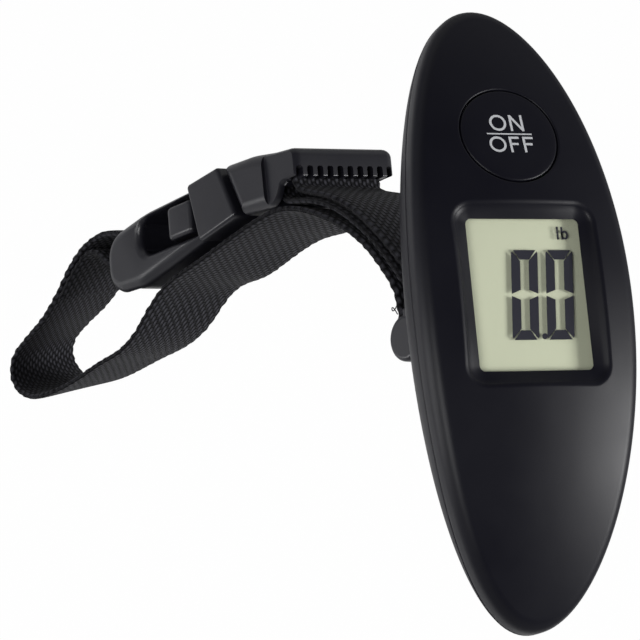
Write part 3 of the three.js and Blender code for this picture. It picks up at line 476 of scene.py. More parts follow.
# %% Display
reflector, tree, shader = finish("display reflector", (0.55, 0.57, 0.41), Roughness=0.75,
                                 Specular_IOR_Level=0.2)
speckle = noise(tree, coordinate(tree), 1800.0, 3.0, 0.7)
settle(shader, Base_Color=blend(tree, speckle, (0.75, 0.79, 0.57), (0.82, 0.86, 0.64)))

clear_window, tree, shader = finish("clear window", (0.04, 0.045, 0.04), Roughness=0.08, Alpha=0.03)
dust = noise(tree, coordinate(tree), 260.0, 5.0, 0.6)
settle(shader, Roughness=math(tree, "MULTIPLY_ADD", dust, 0.1, 0.05))
print("display finishes ready")

# %% Metals and inner pieces
def metal(name, color, roughness, streak=(1.0, 40.0, 1.0)):
    """Drawn or turned metal: streaks along one axis in the roughness and the bump."""
    material, tree, shader = finish(name, color, Metallic=1.0)
    drawn = add(tree, "Mapping", Scale=streak, Vector=coordinate(tree))
    lines = noise(tree, drawn.outputs[0], 160.0, 3.0)
    settle(shader, Roughness=math(tree, "MULTIPLY_ADD", lines, 0.2, roughness - 0.1))
    relief(tree, shader, lines, 0.2, 0.02)
    return material


def recolored(name, material):
    """A mechanical piece that stays as it is takes a finish."""
    NODES[name].data.materials.clear()
    NODES[name].data.materials.append(material)


zinc = metal("zinc plated steel", (0.42, 0.43, 0.45), 0.35)
spring_metal = metal("plated spring strip", (0.62, 0.62, 0.63), 0.28)
bar_metal = metal("milled aluminium", (0.6, 0.61, 0.62), 0.38, (30.0, 1.0, 1.0))
can_metal = metal("cell can", (0.62, 0.63, 0.64), 0.25)
board_green = moulded("solder resist", (0.012, 0.10, 0.035), (0.02, 0.14, 0.05), 0.35,
                      grain=900.0, depth=0.05)
holder_white = moulded("natural plastic", (0.55, 0.55, 0.5), (0.62, 0.62, 0.57), 0.5)
zebra_pink = moulded("striped silicone", (0.45, 0.22, 0.25), (0.55, 0.3, 0.32), 0.7)
epoxy = moulded("black epoxy", (0.006, 0.006, 0.007), (0.012, 0.012, 0.012), 0.3, grain=700.0, depth=0.2)
film = moulded("amber film", (0.36, 0.14, 0.03), (0.45, 0.2, 0.05), 0.35)
INNER = {
    zinc: "load_cell_screw_1 load_cell_screw_2 case_screw_1 case_screw_2 case_screw_3 case_screw_4 "
          "hanger_bolt hanger_nut hanger_pin strap_pin",
    spring_metal: "contact_top contact_edge",
    bar_metal: "load_cell",
    can_metal: "battery",
    board_green: "main_board",
    holder_white: "lcd_holder",
    zebra_pink: "zebra_strip_top zebra_strip_bottom gauge_leads",
    epoxy: "chip_blob",
    film: "strain_gauge_top strain_gauge_bottom",
    acetal: "switch_body switch_plunger",
}
for material, names in INNER.items():
    for name in names.split():
        recolored(name, material)
print("materials on", sum(len(names.split()) for names in INNER.values()), "mechanical pieces")

# %% [markdown]
# ## The handle's form
# The handle is an oval, 130 by 46.4 mm. Its rim drops towards the two ends, as an arch does, and
# the face is crowned in the middle. Every surface of the handle starts from these two formulas.

# %% Handle formulas
LENGTH, WIDTH, ARCH, CROWN = 130.0, 46.4, 12.8, 3.0
SIDE, PARTING, WALL = 5.0, 0.12, 1.8
BACK_Z = -20.3
BORDER, POWER = 10.5, 2.0
EDGE = 2.5
RIM = 288


def face_z(x, y):
    """Height of the face: the arch's drop, plus a crown that dies out at the rim."""
    across, lengthwise = (2 * x / WIDTH) ** 2, (2 * y / LENGTH) ** 2
    return -ARCH * lengthwise + CROWN * (1 - across - lengthwise)


def on_face(flat, depth=0.0):
    """Points laid on the face, `depth` under it."""
    return at_height(flat, face_z(*flat.T) - depth)


def even_angles(inset, count):
    """Angles that put points evenly along the rim's ellipse, moved in on both half axes."""
    dense = np.linspace(0, 2 * np.pi, 4001)
    line = polar(dense) * [WIDTH / 2 - inset, LENGTH / 2 - inset]
    run = np.concatenate([[0], np.cumsum(np.hypot(*np.diff(line, axis=0).T))])
    return np.interp(np.linspace(0, run[-1], count, endpoint=False), run, dense)


rim_angle = even_angles(EDGE, RIM)
rim_drop = ARCH * np.sin(rim_angle) ** 2


def rim_at(inset):
    """The same rim stations on an ellipse moved in by another distance."""
    return polar(rim_angle) * np.stack([WIDTH / 2 - inset, LENGTH / 2 - inset], -1)


print("face at its middle", face_z(0.0, 0.0), "mm, at its ends", -ARCH, "mm")

# %% [markdown]
# ## Front shell
# One skin, built as rings: the face between its rim and its two openings, a rounded edge, the
# side down to the parting line, and back up inside at wall thickness. The display sits at the
# bottom of a sunk surround whose walls lean in; the button drops into a round hole.

# %% Openings in the face
WINDOW, WINDOW_Y = (24.4, 31.0), 0.55
SLOPE, LENS_Z = 2.5, -0.4
CORNER, LENS_CORNER, LIP = 4.6, 1.2, 1.1
INNER_IN = WALL + 1.2
BUTTON_Y, BUTTON_R, BUTTON_GAP = 33.9, 10.3, 0.28


def rounded_rect(width, height, corner, side=24, bend=10):
    """A rectangle with round corners as (x, y), counter-clockwise, always with as many points."""
    bow = np.linspace(0, np.pi / 2, bend + 1)
    t = np.linspace(0, 1, side, endpoint=False)[:, None]
    centres = np.array([(1, -1), (1, 1), (-1, 1), (-1, -1)]) * [width / 2 - corner, height / 2 - corner]
    arcs = [centre + corner * polar(bow + (k - 1) * np.pi / 2) for k, centre in enumerate(centres)]
    straights = [arc[-1] + (arcs[(k + 1) % 4][0] - arc[-1]) * t for k, arc in enumerate(arcs)]
    return np.vstack([part for arc, straight in zip(arcs, straights) for part in (arc[:-1], straight)])


def ring_of(radius, count=120, centre=(0.0, BUTTON_Y)):
    """A circle as points, round the button unless another centre is given."""
    return circle(radius, centre, count)(0.0)


def window_ring(grow, corner):
    """The window's outline, larger by `grow` on every side."""
    return rounded_rect(WINDOW[0] + 2 * grow, WINDOW[1] + 2 * grow, corner) + [0, WINDOW_Y]


# %% Points that steer a flat grid
GUARDS = (0.15, 1.0)


def apart_from(points, loops, margin):
    """The points that lie outside each loop and at least `margin` from it."""
    keep = np.ones(len(points), bool)
    for loop in loops:
        gap = np.linalg.norm(points[:, None] - loop[None], axis=2).min(1)
        keep &= (gap > margin) & ~inside(points, loop)
    return points[keep]


def plan_points(insets, every, xs, ys):
    """Loops inside the rim, one station in `every`, and a square grid in the middle."""
    return np.vstack([rim_at(d)[::every] for d in insets] + [[[x, y] for x in xs for y in ys]])


# %% Front shell skin
def face_skin(inset, depth, window, hole):
    """The face under `depth`, from an oval moved in by `inset`, round its two openings. Loops at
    the GUARDS distances from each edge keep the shading of the edges out of the face."""
    near = [edge(gap) for edge in (window, hole) for gap in GUARDS] + [rim_at(inset + gap) for gap in GUARDS]
    wide = plan_points((2.5, 4.5, 7, 10, 13, 16), 3, (-1.5, 1.5), range(-44, 60, 4))
    wide = apart_from(wide, [window(GUARDS[1]), hole(GUARDS[1])], 1.4)
    points, triangles = fill(rim_at(inset), [window(0), hole(0)], np.vstack(near + [wide]))
    return on_face(points, depth), triangles.tolist()


def front_shell():
    """Outer face, edge, side, parting line, inner side and inner face, then both openings' walls. The
    edge is an arc that leaves the face at the face's own slope and ends upright."""
    rim, shaft_r = 0.35, BUTTON_R + BUTTON_GAP
    window_edge = lambda grow: window_ring(SLOPE + LIP + grow, CORNER + grow)
    hole_edge = lambda grow: ring_of(shaft_r + rim + grow)
    top = face_z(*rim_at(EDGE).T)
    slope = np.arctan((top - face_z(*rim_at(EDGE - 0.01).T)) / 0.01)
    reach = EDGE / (1 - np.sin(slope))
    rings = []
    for k in np.linspace(0, 1, 11):
        a = slope + k * (np.pi / 2 - slope)
        rings.append(at_height(rim_at(reach * (1 - np.sin(a))), top - reach * (np.cos(slope) - np.cos(a))))
    for inset, down in ((0, EDGE + 0.6), (0, 3.4), (0, SIDE - 0.25), (0.05, SIDE - 0.06), (0.2, SIDE),
                        (WALL, SIDE), (WALL + 0.6, 2.6)):
        rings.append(at_height(rim_at(inset), -rim_drop - down))
    rings.append(on_face(rim_at(INNER_IN), WALL))
    window_back = lambda grow: window_ring(SLOPE + WALL + grow, CORNER + 0.2 + grow)
    hole_back = lambda grow: ring_of(shaft_r + 1.4 + grow)
    hole_top = face_z(*hole_edge(0).T)
    walls = [at_height(ring_of(shaft_r + i), hole_top - d) for i, d in zip(*quarter(rim, 5))]
    walls += [on_face(ring_of(shaft_r), WALL), on_face(hole_back(0), WALL)]
    return merged(face_skin(EDGE, 0, window_edge, hole_edge), skin(rings),
                  face_skin(INNER_IN, WALL, window_back, hole_back),
                  window_wall(window_edge(0), window_back(0)), skin(walls))


def window_wall(top_ring, low_window):
    """From the face, round a soft lip, down the leaning wall to the lens, and back underneath."""
    top = face_z(*top_ring.T)
    rings = [at_height(top_ring, top)]
    lean = np.arctan2(SLOPE, CROWN - LENS_Z)
    for k in np.linspace(0, 1, 9)[1:]:
        a = k * (np.pi / 2 - lean)
        ring = window_ring(SLOPE + LIP * (1 - np.sin(a) / np.cos(lean)), CORNER - LIP * np.sin(a))
        rings.append(at_height(ring, top - LIP * (1 - np.cos(a))))
    last_top = rings[-1][:, 2]
    for k in (0.35, 0.7, 1.0):
        ring = window_ring(SLOPE * (1 - k), LENS_CORNER + SLOPE * (1 - k))
        rings.append(at_height(ring, last_top * (1 - k) + (LENS_Z + 0.06) * k))
    under = ((0.0, LENS_CORNER), (1.2, LENS_CORNER + 0.3))
    rings += [at_height(window_ring(*ring), LENS_Z + 0.03) for ring in under]
    return skin(rings + [on_face(low_window, WALL)])


front = piece("front_shell_skin", *front_shell(), "handle", "shell", shell_black, 35)
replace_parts(front, "front_shell")
print("front shell", len(front.data.polygons), "faces")

# %% [markdown]
# ## Rear shell
# The back is flat in the middle and rolls up to the parting line along a squarish curve. Seen
# from straight behind it is a height over (x, y), so its round openings are cut in plan, and only
# the steep last millimetre next to the parting line is a stack of rings.

# %% Rear shell formulas
def back_z(drop, d):
    """Height of the back, d inside the rim, from the parting line that lies `drop` lower there to
    the flat back. The share of the way is (1 - (1 - d / BORDER)^POWER)^(1 / POWER)."""
    d = np.clip(d, 0, BORDER)
    top = -drop - SIDE - PARTING
    return top - (1 - (1 - d / BORDER) ** POWER) ** (1 / POWER) * (top - BACK_Z)


def rear_z(points):
    """Height of the back: find by halving which inset ellipse passes through each point."""
    low, high = np.zeros(len(points)), np.full(len(points), BORDER)
    for _ in range(40):
        d = (low + high) / 2
        out = (points[:, 0] / (WIDTH / 2 - d)) ** 2 + (points[:, 1] / (LENGTH / 2 - d)) ** 2
        low, high = np.where(out < 1, d, low), np.where(out < 1, high, d)
    d = (low + high) / 2
    return back_z(ARCH * np.clip(points[:, 1] / (LENGTH / 2 - d), -1, 1) ** 2, d)


# %% Rear shell skin
BATTERY_Y, COVER_R = -24.0, 12.6
SCREWS = [(5.5, 50.0), (-5.5, 50.0), (5.5, -53.5), (-5.5, -53.5)]
PORTS = [((0.0, BATTERY_Y), COVER_R + 0.3, 96), ((0.0, 0.0), 4.4, 48)] + [(s, 2.4, 32) for s in SCREWS]


def within(ring, d):
    """Whether a ring lies inside the rim moved in by d."""
    return bool((((ring / [WIDTH / 2 - d, LENGTH / 2 - d]) ** 2).sum(1) < 1).all())


def rear_shell():
    """The outer back round its ports, the rings to the parting line, an inner shell, port walls."""
    join, rim, inner_in = 1.0, 0.3, WALL + 2.5
    inner_z, top = BACK_Z + WALL, -rim_drop - SIDE - PARTING
    holes = [ring_of(r + rim, n, c) for c, r, n in PORTS]
    support = [ring_of(r + rim + gap, n, c) for c, r, n in PORTS for gap in (0.15, 0.8)]
    wide = plan_points((1.5, 2.2, 3, 4, 5, 6, 7, 8, 9, 10.5, 13), 2, (-8, -4, 0, 4, 8), range(-40, 44, 4))
    wide = apart_from(wide, support[1::2], 0.6)
    extra = np.vstack([rim_at(join + 0.1), wide] + [ring for ring in support if within(ring, join + 0.3)])
    plan, triangles = fill(rim_at(join), holes, extra)
    steep = (join, 0.75, 0.5, 0.32, 0.18, 0.09, 0.04, 0.01)
    rings = [at_height(rim_at(d), back_z(rim_drop, d)) for d in steep]
    for inset, z in ((0, top - 0.3), (0.08, top - 0.06), (0.25, top), (WALL, top),
                     (WALL + 0.4, (top + inner_z) / 2), (inner_in, np.minimum(inner_z + 1.5, top - 0.5))):
        rings.append(at_height(rim_at(inset), z))
    floor_holes = [ring_of(r + (1.2 if r > 3 else 0.5), n, c) for c, r, n in PORTS]
    floor_plan, floor_triangles = fill(rim_at(inner_in), floor_holes)
    floor_z = np.full(len(floor_plan), inner_z)
    floor_z[:RIM] = rings[-1][:, 2]
    parts = [(at_height(plan, rear_z(plan)), triangles.tolist()), skin(rings),
             (at_height(floor_plan, floor_z), floor_triangles.tolist())]
    for (centre, radius, count), hole, deep in zip(PORTS, holes, floor_holes):
        base = rear_z(hole)
        walls = [at_height(ring_of(radius + i, count, centre), base + d) for i, d in zip(*quarter(rim, 4))]
        wall_top = np.maximum(inner_z - 0.05, base + rim + 0.1)
        walls += [at_height(ring_of(radius, count, centre), wall_top), at_height(deep, inner_z)]
        parts.append(skin(walls))
    return merged(*parts)


rear = piece("rear_shell_skin", *rear_shell(), "handle", "shell", shell_black, 35)
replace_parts(rear, "rear_shell")
print("rear shell", len(rear.data.polygons), "faces")

# %% [markdown]
# ## Battery cover
# A round lid with a coin slot. It turns a sixth of a turn to free its lugs, so it rides on its
# own body. The lid is a filleted disc; the slot is cut out of it with a long rounded block.

# %% Battery cover
LUG_R, LUG_AT = 2.6, 9.6


def disc(radius, low, high, fillet, at=(0.0, 0.0), count=96):
    """A round plate, placed from the cover's axis; low and high are measured from the back."""
    centre = (at[0], BATTERY_Y + at[1])
    return filleted_prism(circle(radius, centre, count), BACK_Z + low, BACK_Z + high, fillet)


lid = loose("battery_lid", *disc(COVER_R, 0, 1.0, 0.35))
slot_line = box_outline(-7.0, 7.0, BATTERY_Y - 0.9, BATTERY_Y + 0.9, 0.88)
lid = carved(lid, loose("coin_slot", *filleted_prism(slot_line, BACK_Z - 1.0, BACK_Z + 0.6, 0.2)))
dress(lid, "battery_cover", "shell", shell_black, 30)
lugs = [disc(LUG_R, 2.1, 3.0, 0.2, at, 32) for at in LUG_AT * polar(turns(3))]
neck = merged(disc(11.2, 0.95, 3.0, 0.2), *lugs)
piece("battery_lid_neck", *neck, "battery_cover", "shell", shell_black, 30)
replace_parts(lid, "battery_cover")
print("battery cover", len(lid.data.polygons), "faces")

# %% [markdown]
# ## Button
# The button's cap follows the face and is dished a little, so a thumb finds it. It is a polar
# grid: rings from the middle to the rim, a rounded edge, then the skirt inside the hole.

# %% Button
DISH, DISH_SHARE, SUNK = 0.35, 0.92, 0.05
BUTTON_EDGE, SKIRT = 0.4, 2.2


def button_z(x, y):
    """The face's own height less a dish that is deepest in the middle."""
    r = np.hypot(x, y - BUTTON_Y) / BUTTON_R
    return face_z(x, y) - SUNK - DISH * (1 - np.clip(r / DISH_SHARE, 0, 1) ** 2) ** 1.5


def button_cap():
    """Circles of radius r at the dish's height, a quarter round, an upright skirt with a lip
    under it, and an underside 1.6 mm below the face. One point closes it at the top, one below."""
    radii = np.linspace(0.6, BUTTON_R - BUTTON_EDGE, 22)[:-1]
    rings = [at_height(ring_of(r), button_z(*ring_of(r).T)) for r in radii]
    rim = button_z(*ring_of(BUTTON_R - BUTTON_EDGE).T)
    rings += [at_height(ring_of(BUTTON_R - i), rim - d) for i, d in zip(*quarter(BUTTON_EDGE, 5))]
    foot = ring_of(BUTTON_R - 1.2)
    rings += [at_height(ring_of(BUTTON_R), rim - SKIRT), at_height(foot, rim - SKIRT), on_face(foot, 1.6)]
    points, faces = skin(rings)
    poles = [[0, BUTTON_Y, button_z(0.0, BUTTON_Y)], [0, BUTTON_Y, face_z(0.0, BUTTON_Y) - 1.6]]
    i, last = np.arange(len(foot)), len(points) - len(foot)
    following = (i + 1) % len(foot)
    for pole, a, b in ((len(points), following, i), (len(points) + 1, last + i, last + following)):
        faces += np.stack([np.full(len(i), pole), a, b], 1).tolist()
    return np.vstack([points, poles]), faces


cap = piece("button_cap", *button_cap(), "on_off_button", "button", button_black, 50)
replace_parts(cap, "on_off_button")
print("button dish", DISH, "mm")

# %% [markdown]
# ## Lettering
# ON and OFF stand over and under a bar, printed in light grey. Each letter is a set of flat
# strokes of one width. Every point then takes its height from the button, so the print lies on it.

# %% Strokes
def stroke(points, width, closed=False):
    """A flat ribbon along a line: each point is shifted half the width along its mitred normal."""
    line = np.asarray(points, float)
    ahead, behind = np.roll(line, -1, 0) - line, line - np.roll(line, 1, 0)
    if not closed:
        ahead[-1], behind[0] = behind[-1], ahead[0]
    ahead, behind = unit(ahead), unit(behind)
    normal = unit((ahead + behind)[:, ::-1] * [-1, 1])
    miter = width / 2 / np.maximum((normal * ahead[:, ::-1] * [-1, 1]).sum(1), 0.4)
    return np.vstack([line + normal * miter[:, None], line - normal * miter[:, None]]), \
        strips((2, len(line)), closed)


def ring_letter(x0, x1, y0, y1, width):
    """The letter O: an oval stroke."""
    half = [(x1 - x0 - width) / 2, (y1 - y0 - width) / 2]
    return stroke([(x0 + x1) / 2, (y0 + y1) / 2] + polar(turns(48)) * half, width, True)


def bars(width, *lines):
    """Straight strokes, each from a to b with six points, so that they can follow a dish."""
    return [stroke(np.linspace(a, b, 6), width) for a, b in lines]


def letter_n(x0, x1, y0, y1, width):
    """The letter N: two stems and the slanting stroke between them."""
    left, right = x0 + width / 2, x1 - width / 2
    return bars(width, ((left, y0), (left, y1)), ((right, y0), (right, y1)),
                ((left, y1 - 0.15), (right, y0 + 0.15)))


def letter_f(x0, x1, y0, y1, width):
    """The letter F: a stem, an arm at the top and a shorter one just over the middle."""
    left, top, middle = x0 + width / 2, y1 - width / 2, (y0 + y1) / 2 + 0.1
    return bars(width, ((left, y0), (left, y1)), ((left, top), (x1, top)),
                ((left, middle), (x1 - 0.3, middle)))


def border_of(faces):
    """Edges that only one face uses, in that face's direction."""
    edges = [(f[i], f[(i + 1) % len(f)]) for f in faces for i in range(len(f))]
    known = set(edges)
    return [(a, b) for a, b in edges if (b, a) not in known]


def raised(flat_parts, height, lift, thick=0.03):
    """Flat (points, faces) lists laid over a height formula as thin closed plates."""
    plates = []
    for flat, tops in flat_parts:
        n, base = len(flat), height(*flat.T) + lift
        faces = tops + [[i + n for i in top[::-1]] for top in tops]
        faces += [[a, a + n, b + n, b] for a, b in border_of(tops)]
        plates.append((np.vstack([at_height(flat, base + thick), at_height(flat, base)]), faces))
    return merged(*plates)


# %% ON and OFF
INK = 0.5
ON_ROW, OFF_ROW = (34.95, 38.6), (30.1, 33.65)
word_on = [ring_letter(-3.85, -0.2, *ON_ROW, INK), *letter_n(0.55, 3.5, *ON_ROW, INK)]
rule = bars(0.3, ((-4.9, 34.25), (4.9, 34.25)))
word_off = [ring_letter(-4.8, -1.15, *OFF_ROW, INK), *letter_f(-0.4, 1.85, *OFF_ROW, INK),
            *letter_f(2.6, 4.9, *OFF_ROW, INK)]
for name, parts in (("print_on", word_on), ("print_rule", rule), ("print_off", word_off)):
    piece(name, *raised(parts, button_z, 0.02), "on_off_button", "button", print_white, 50)
print("letters on the button")

# %% [markdown]
# ## Display
# A reflective display is a stack: a reflector at the back, liquid crystal in glass, and a clear
# window in the case. The dark segments float above the reflector, so they throw soft shadows on
# it. The glass is a clear block, and the reflector a thin plate at its foot.

# %% Glass stack
LCD_WIDTH, LCD_HEIGHT = 29.2, 35.2
GLASS_TOP, REFLECTOR_Z, GLASS_FOOT = -1.7, -2.35, -3.9
glass_line = box_outline(-LCD_WIDTH / 2, LCD_WIDTH / 2, -LCD_HEIGHT / 2, LCD_HEIGHT / 2, 0.75, 4)
foot = filleted_prism(glass_line, GLASS_FOOT, REFLECTOR_Z, 0.05, 2)
block = filleted_prism(glass_line, REFLECTOR_Z + 0.05, GLASS_TOP, 0.05, 2)
plate = piece("display_reflector", *foot, "handle", "lcd", reflector, 30)
piece("display_glass", *block, "handle", "lcd", clear_window, 30)
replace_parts(plate, "lcd_glass")
recolored("display_lens", clear_window)

# %% Segments
SLANT, SLANT_FROM = 0.088, 0.9
DIGITS_X, DIGITS_Y, BAR = ((-3.2, 2.55), (4.3, 10.2)), (-8.4, 10.0), 1.95
UNIT_INK, UNIT_Y = 0.42, (12.2, 14.85)


def leaning(points):
    """Digits lean to the right: x grows with the height over the middle line."""
    return np.column_stack([points[:, 0] + SLANT * (points[:, 1] - SLANT_FROM), points[:, 1]])


def segment_shapes(x0, x1, y0, y1, t):
    """The six lit bars of a nought: two horizontal trapezia and four uprights with mitred ends."""
    middle = (y0 + y1) / 2
    flip_x = lambda shape: [(x0 + x1 - x, y) for x, y in shape][::-1]
    flip_y = lambda shape: [(x, y0 + y1 - y) for x, y in shape][::-1]
    top = [(x0 + 0.44, y1), (x1 - 0.44, y1), (x1 - t + 0.1, y1 - t), (x0 + t - 0.1, y1 - t)]
    upright = [(x0, y1 - 0.6), (x0 + 0.2, y1 - 0.3), (x0 + t, y1 - t - 0.32),
               (x0 + t, middle + 1.0), (x0 + 0.1, middle + 0.25), (x0, middle + 0.3)]
    return [top, flip_y(top), upright, flip_x(upright), flip_y(upright), flip_x(flip_y(upright))]


def on_glass(name, parts):
    """Dark shapes on top of the glass, at one height."""
    flat_height = lambda x, y: np.full(len(x), GLASS_TOP)
    piece(name, *raised(parts, flat_height, 0.0), "handle", "lcd", segment_ink, 30)


shapes = [shape for ends in DIGITS_X for shape in segment_shapes(*ends, *DIGITS_Y, BAR)]
shapes.append(ring_of(0.6, 20, (3.75, -7.7)))
segments = [fill(leaning(np.asarray(shape, float))) for shape in shapes]
on_glass("display_digits", [(points, triangles.tolist()) for points, triangles in segments])
stems = bars(UNIT_INK, *[((x, UNIT_Y[0]), (x, UNIT_Y[1])) for x in (8.15, 9.11)])
on_glass("display_unit", stems + [ring_letter(8.9, 10.45, UNIT_Y[0], 14.05, UNIT_INK)])
print("display:", len(segments), "segments")

# %% [markdown]
# ## The strap's frame
# The strap hangs from a pin and leans twenty degrees to one side. Everything on it is drawn
# upright, with the pin's axis as its origin, and then turned and moved into place.

# %% Strap frame
LEAN = np.radians(20)
PIVOT_Z, PIN_DROP = -25.3, 7.8
TWIST, TWIST_FROM = 0.075, -15


def eased(t):
    """0 to 1 with level ends: 3t^2 - 2t^3."""
    t = np.clip(t, 0, 1)
    return t * t * (3 - 2 * t)


def hung(points, drop=PIN_DROP):
    """Turn about Y by the lean, then hang under the pivot. The webbing gives a little, so further
    down the strap its far side rides higher: y grows by TWIST for each mm past x = TWIST_FROM."""
    x, y, z = np.asarray(points, float).T
    y = y + TWIST * (x - TWIST_FROM) * eased((-z - 7) / 22)
    z = z - drop
    return np.column_stack([x * np.cos(LEAN) + z * np.sin(LEAN), y,
                            z * np.cos(LEAN) - x * np.sin(LEAN) + PIVOT_Z])


def across(line, low, high, radius, steps=5):
    """A prism drawn in (y, z) and raised along x."""
    points, faces = filleted_prism(line, low, high, radius, steps)
    return points[:, [2, 0, 1]], faces


def spanning(line, reach, radius, steps=5):
    """A prism across the strap, as far to the left as to the right."""
    return across(line, -reach, reach, radius, steps)


def along_y(line, low, high, radius, steps=5):
    """A prism drawn in (x, z) and raised along y."""
    points, faces = filleted_prism(line, low, high, radius, steps)
    return points[:, [0, 2, 1]], faces


# %% [markdown]
# ## Hanger
# A yoke swings on a pin through the bolt's eye. Its two round cheeks hold the pin that the
# webbing wraps round.

# %% Hanger yoke
cheek_line = circle(4.9, (-1.9, 0.9), 64)
yoke_line = outline([(-15.6, -7.0), (-12.9, -7.0), (-12.9, -3.1), (12.9, -3.1), (12.9, -7.0), (15.6, -7.0),
                     (15.6, -4.4), (12.2, -1.0), (-12.2, -1.0), (-15.6, -4.4)],
                    [0.5, 0.5, 0.6, 0.6, 0.5, 0.5, 1.2, 1.2, 1.2, 1.2])
ear_line = outline([(-2.6, -1.5), (2.6, -1.5), (2.6, 2.6), (-2.6, 2.6)], [0.4, 0.4, 2.4, 2.4])
cheeks = [across(cheek_line, *side, 0.9) for side in ((13.0, 15.7), (-15.7, -13.0))]
bridge = along_y(yoke_line, -4.3, 4.3, 0.5)
ears = [along_y(ear_line, *side, 0.3) for side in ((2.3, 4.3), (-4.3, -2.3))]
yoke_parts = [(hung(p), f) for p, f in cheeks] + [(hung(p, 0), f) for p, f in [bridge, *ears]]
yoke = piece("hanger_yoke_body", *merged(*yoke_parts), "hanger", "plastic", acetal, 35)
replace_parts(yoke, "hanger_yoke")
print("hanger yoke", len(yoke.data.polygons), "faces")

# %% [markdown]
# ## Webbing
# The strap is one ribbon: its middle line follows a smooth route, and its section is a flat
# pillow, thicker in the middle than at the selvedges. The route starts at the loose tail, goes
# through the buckle's bar, round the hanger's pin, down round the loop, and ends sewn to itself
# after the last bar. One edge runs a little ahead of the other where the loop twists.

# %% Route of the strap
WEB_WIDTH, WEB_THICK, WEB_SKEW = 25.0, 1.5, (6.0, -8.0)
BEND_STEPS, STATION = 8, 0.75


def bend(y, z, radius, start, end):
    """Part of a circle, as rows (y, z, 0)."""
    angle = np.radians(np.linspace(start, end, BEND_STEPS + 1))
    return at_height([y, z] + radius * polar(angle), 0)


# Each row is y, z and the share of WEB_SKEW by which the far edge is shifted there.
ROUTE = np.vstack([
    at_height([
        [13.4, -0.7], [19.2, -5.2], [24.9, -10.2], [30.5, -16.1], [35.0, -23.0], [37.6, -29.2],
        [39.0, -32.4], [40.4, -34.1], [42.6, -34.4], [44.7, -34.2], [46.2, -35.2], [46.7, -36.8],
        [46.2, -38.4], [44.7, -39.3], [42.0, -39.4], [39.6, -39.2], [38.0, -37.6], [37.2, -34.5],
        [36.0, -30.0], [33.2, -23.7], [29.0, -17.5], [23.5, -11.5], [17.5, -6.5], [11.5, -2.2],
        [6.6, 1.3]], 0),
    bend(0, 0, 3.6, 70, 270),
    at_height([
        [5.2, -3.8], [10.4, -4.9], [16.2, -8.5], [22.1, -13.3], [27.2, -19.4], [31.0, -26.0],
        [33.4, -32.5], [34.9, -39.5], [35.4, -46.5], [35.2, -54.5], [34.1, -62.5], [32.4, -70.5],
        [30.2, -78.5]], 0),
    [[27.8, -86.0, 0.05], [24.6, -93.0, 0.2], [20.8, -99.5, 0.4], [18.0, -107.0, 0.6],
     [16.6, -116.0, 0.75], [15.7, -126.0, 0.85], [15.1, -136.0, 0.95], [15.6, -144.5, 1], [18.6, -151.0, 1],
     [23.4, -154.0, 1], [27.9, -152.2, 1], [31.0, -146.0, 1], [34.4, -138.0, 0.9], [39.0, -131.0, 0.75],
     [44.0, -125.0, 0.5], [47.6, -118.5, 0.25], [48.9, -111.5, 0.05], [48.4, -106.5, 0], [47.0, -102.4, 0]],
    bend(41.6, -99, 3.3, 0, 180),
    [[38.6, -103.5, 0], [41.6, -108.6, 0], [45.3, -113.0, 0.1], [45.6, -117.8, 0.25], [42.4, -123.8, 0.5],
     [37.7, -129.6, 0.75]],
])


def smooth_route(points, per=8):
    """A uniform Catmull-Rom curve: each stretch is a cubic through two points, with the slope at
    each end half the step between its neighbours."""
    ends = np.vstack([2 * points[:1] - points[1:2], points, 2 * points[-1:] - points[-2:-1]])
    t = np.linspace(0, 1, per, endpoint=False)[None, :, None]
    p0, p1, p2, p3 = (ends[k:len(ends) - 3 + k, None] for k in range(4))
    curve = p1 + 0.5 * t * (p2 - p0) + t * t * (p0 - 2.5 * p1 + 2 * p2 - 0.5 * p3) \
        + t ** 3 * (-0.5 * p0 + 1.5 * p1 - 1.5 * p2 + 0.5 * p3)
    return np.vstack([curve.reshape(-1, 3), points[-1:]])


route = smooth_route(ROUTE)
run = np.concatenate([[0], np.cumsum(np.hypot(*np.diff(route[:, :2], axis=0).T))])
stations = np.linspace(0, run[-1], int(run[-1] / STATION))
route = np.stack([np.interp(stations, run, route[:, k]) for k in range(3)], 1)
WEB_LENGTH = float(run[-1])
print("webbing", round(WEB_LENGTH, 1), "mm long and", WEB_WIDTH, "mm wide")

# %% Webbing ribbon
SELVEDGE = 0.97
SCALLOP, WEFTS = 0.2, (2.6, 4.1)


def pillow_section(count=17, rim=5):
    """(v, w) round the ribbon's section: v from -1 to 1 across, w from -1 to 1 through."""
    v = np.linspace(-SELVEDGE, SELVEDGE, count)
    top = np.stack([v, (1 - np.abs(v) ** 8) ** 0.5 * 0.4 + 0.6], 1)
    a = np.linspace(np.pi / 2, -np.pi / 2, rim + 2)[1:-1]
    side = np.stack([SELVEDGE + (1 - SELVEDGE) * np.cos(a), top[-1, 1] * np.sin(a)], 1)
    return np.vstack([top, side, (top * [1, -1])[::-1], -side])


def sway(s, v):
    """Where each edge of the strap rides higher: a sum of bells h * exp(-((s - c) / w)^2), one sum
    for the near edge, one for the far edge, and a straight line between them across the strap."""
    bells = lambda *rows: sum(h * np.exp(-((s - c) / w) ** 2) for h, c, w in rows)
    near = bells((1.6, 188, 12), (1.9, 234, 12), (1.0, 265, 10))
    far = bells((2.4, 15, 14), (-1.4, 193, 9), (3.5, 238, 10), (-1.1, 283, 12), (0.8, 307, 8))
    return near * (1 - v) / 2 + far * (1 + v) / 2


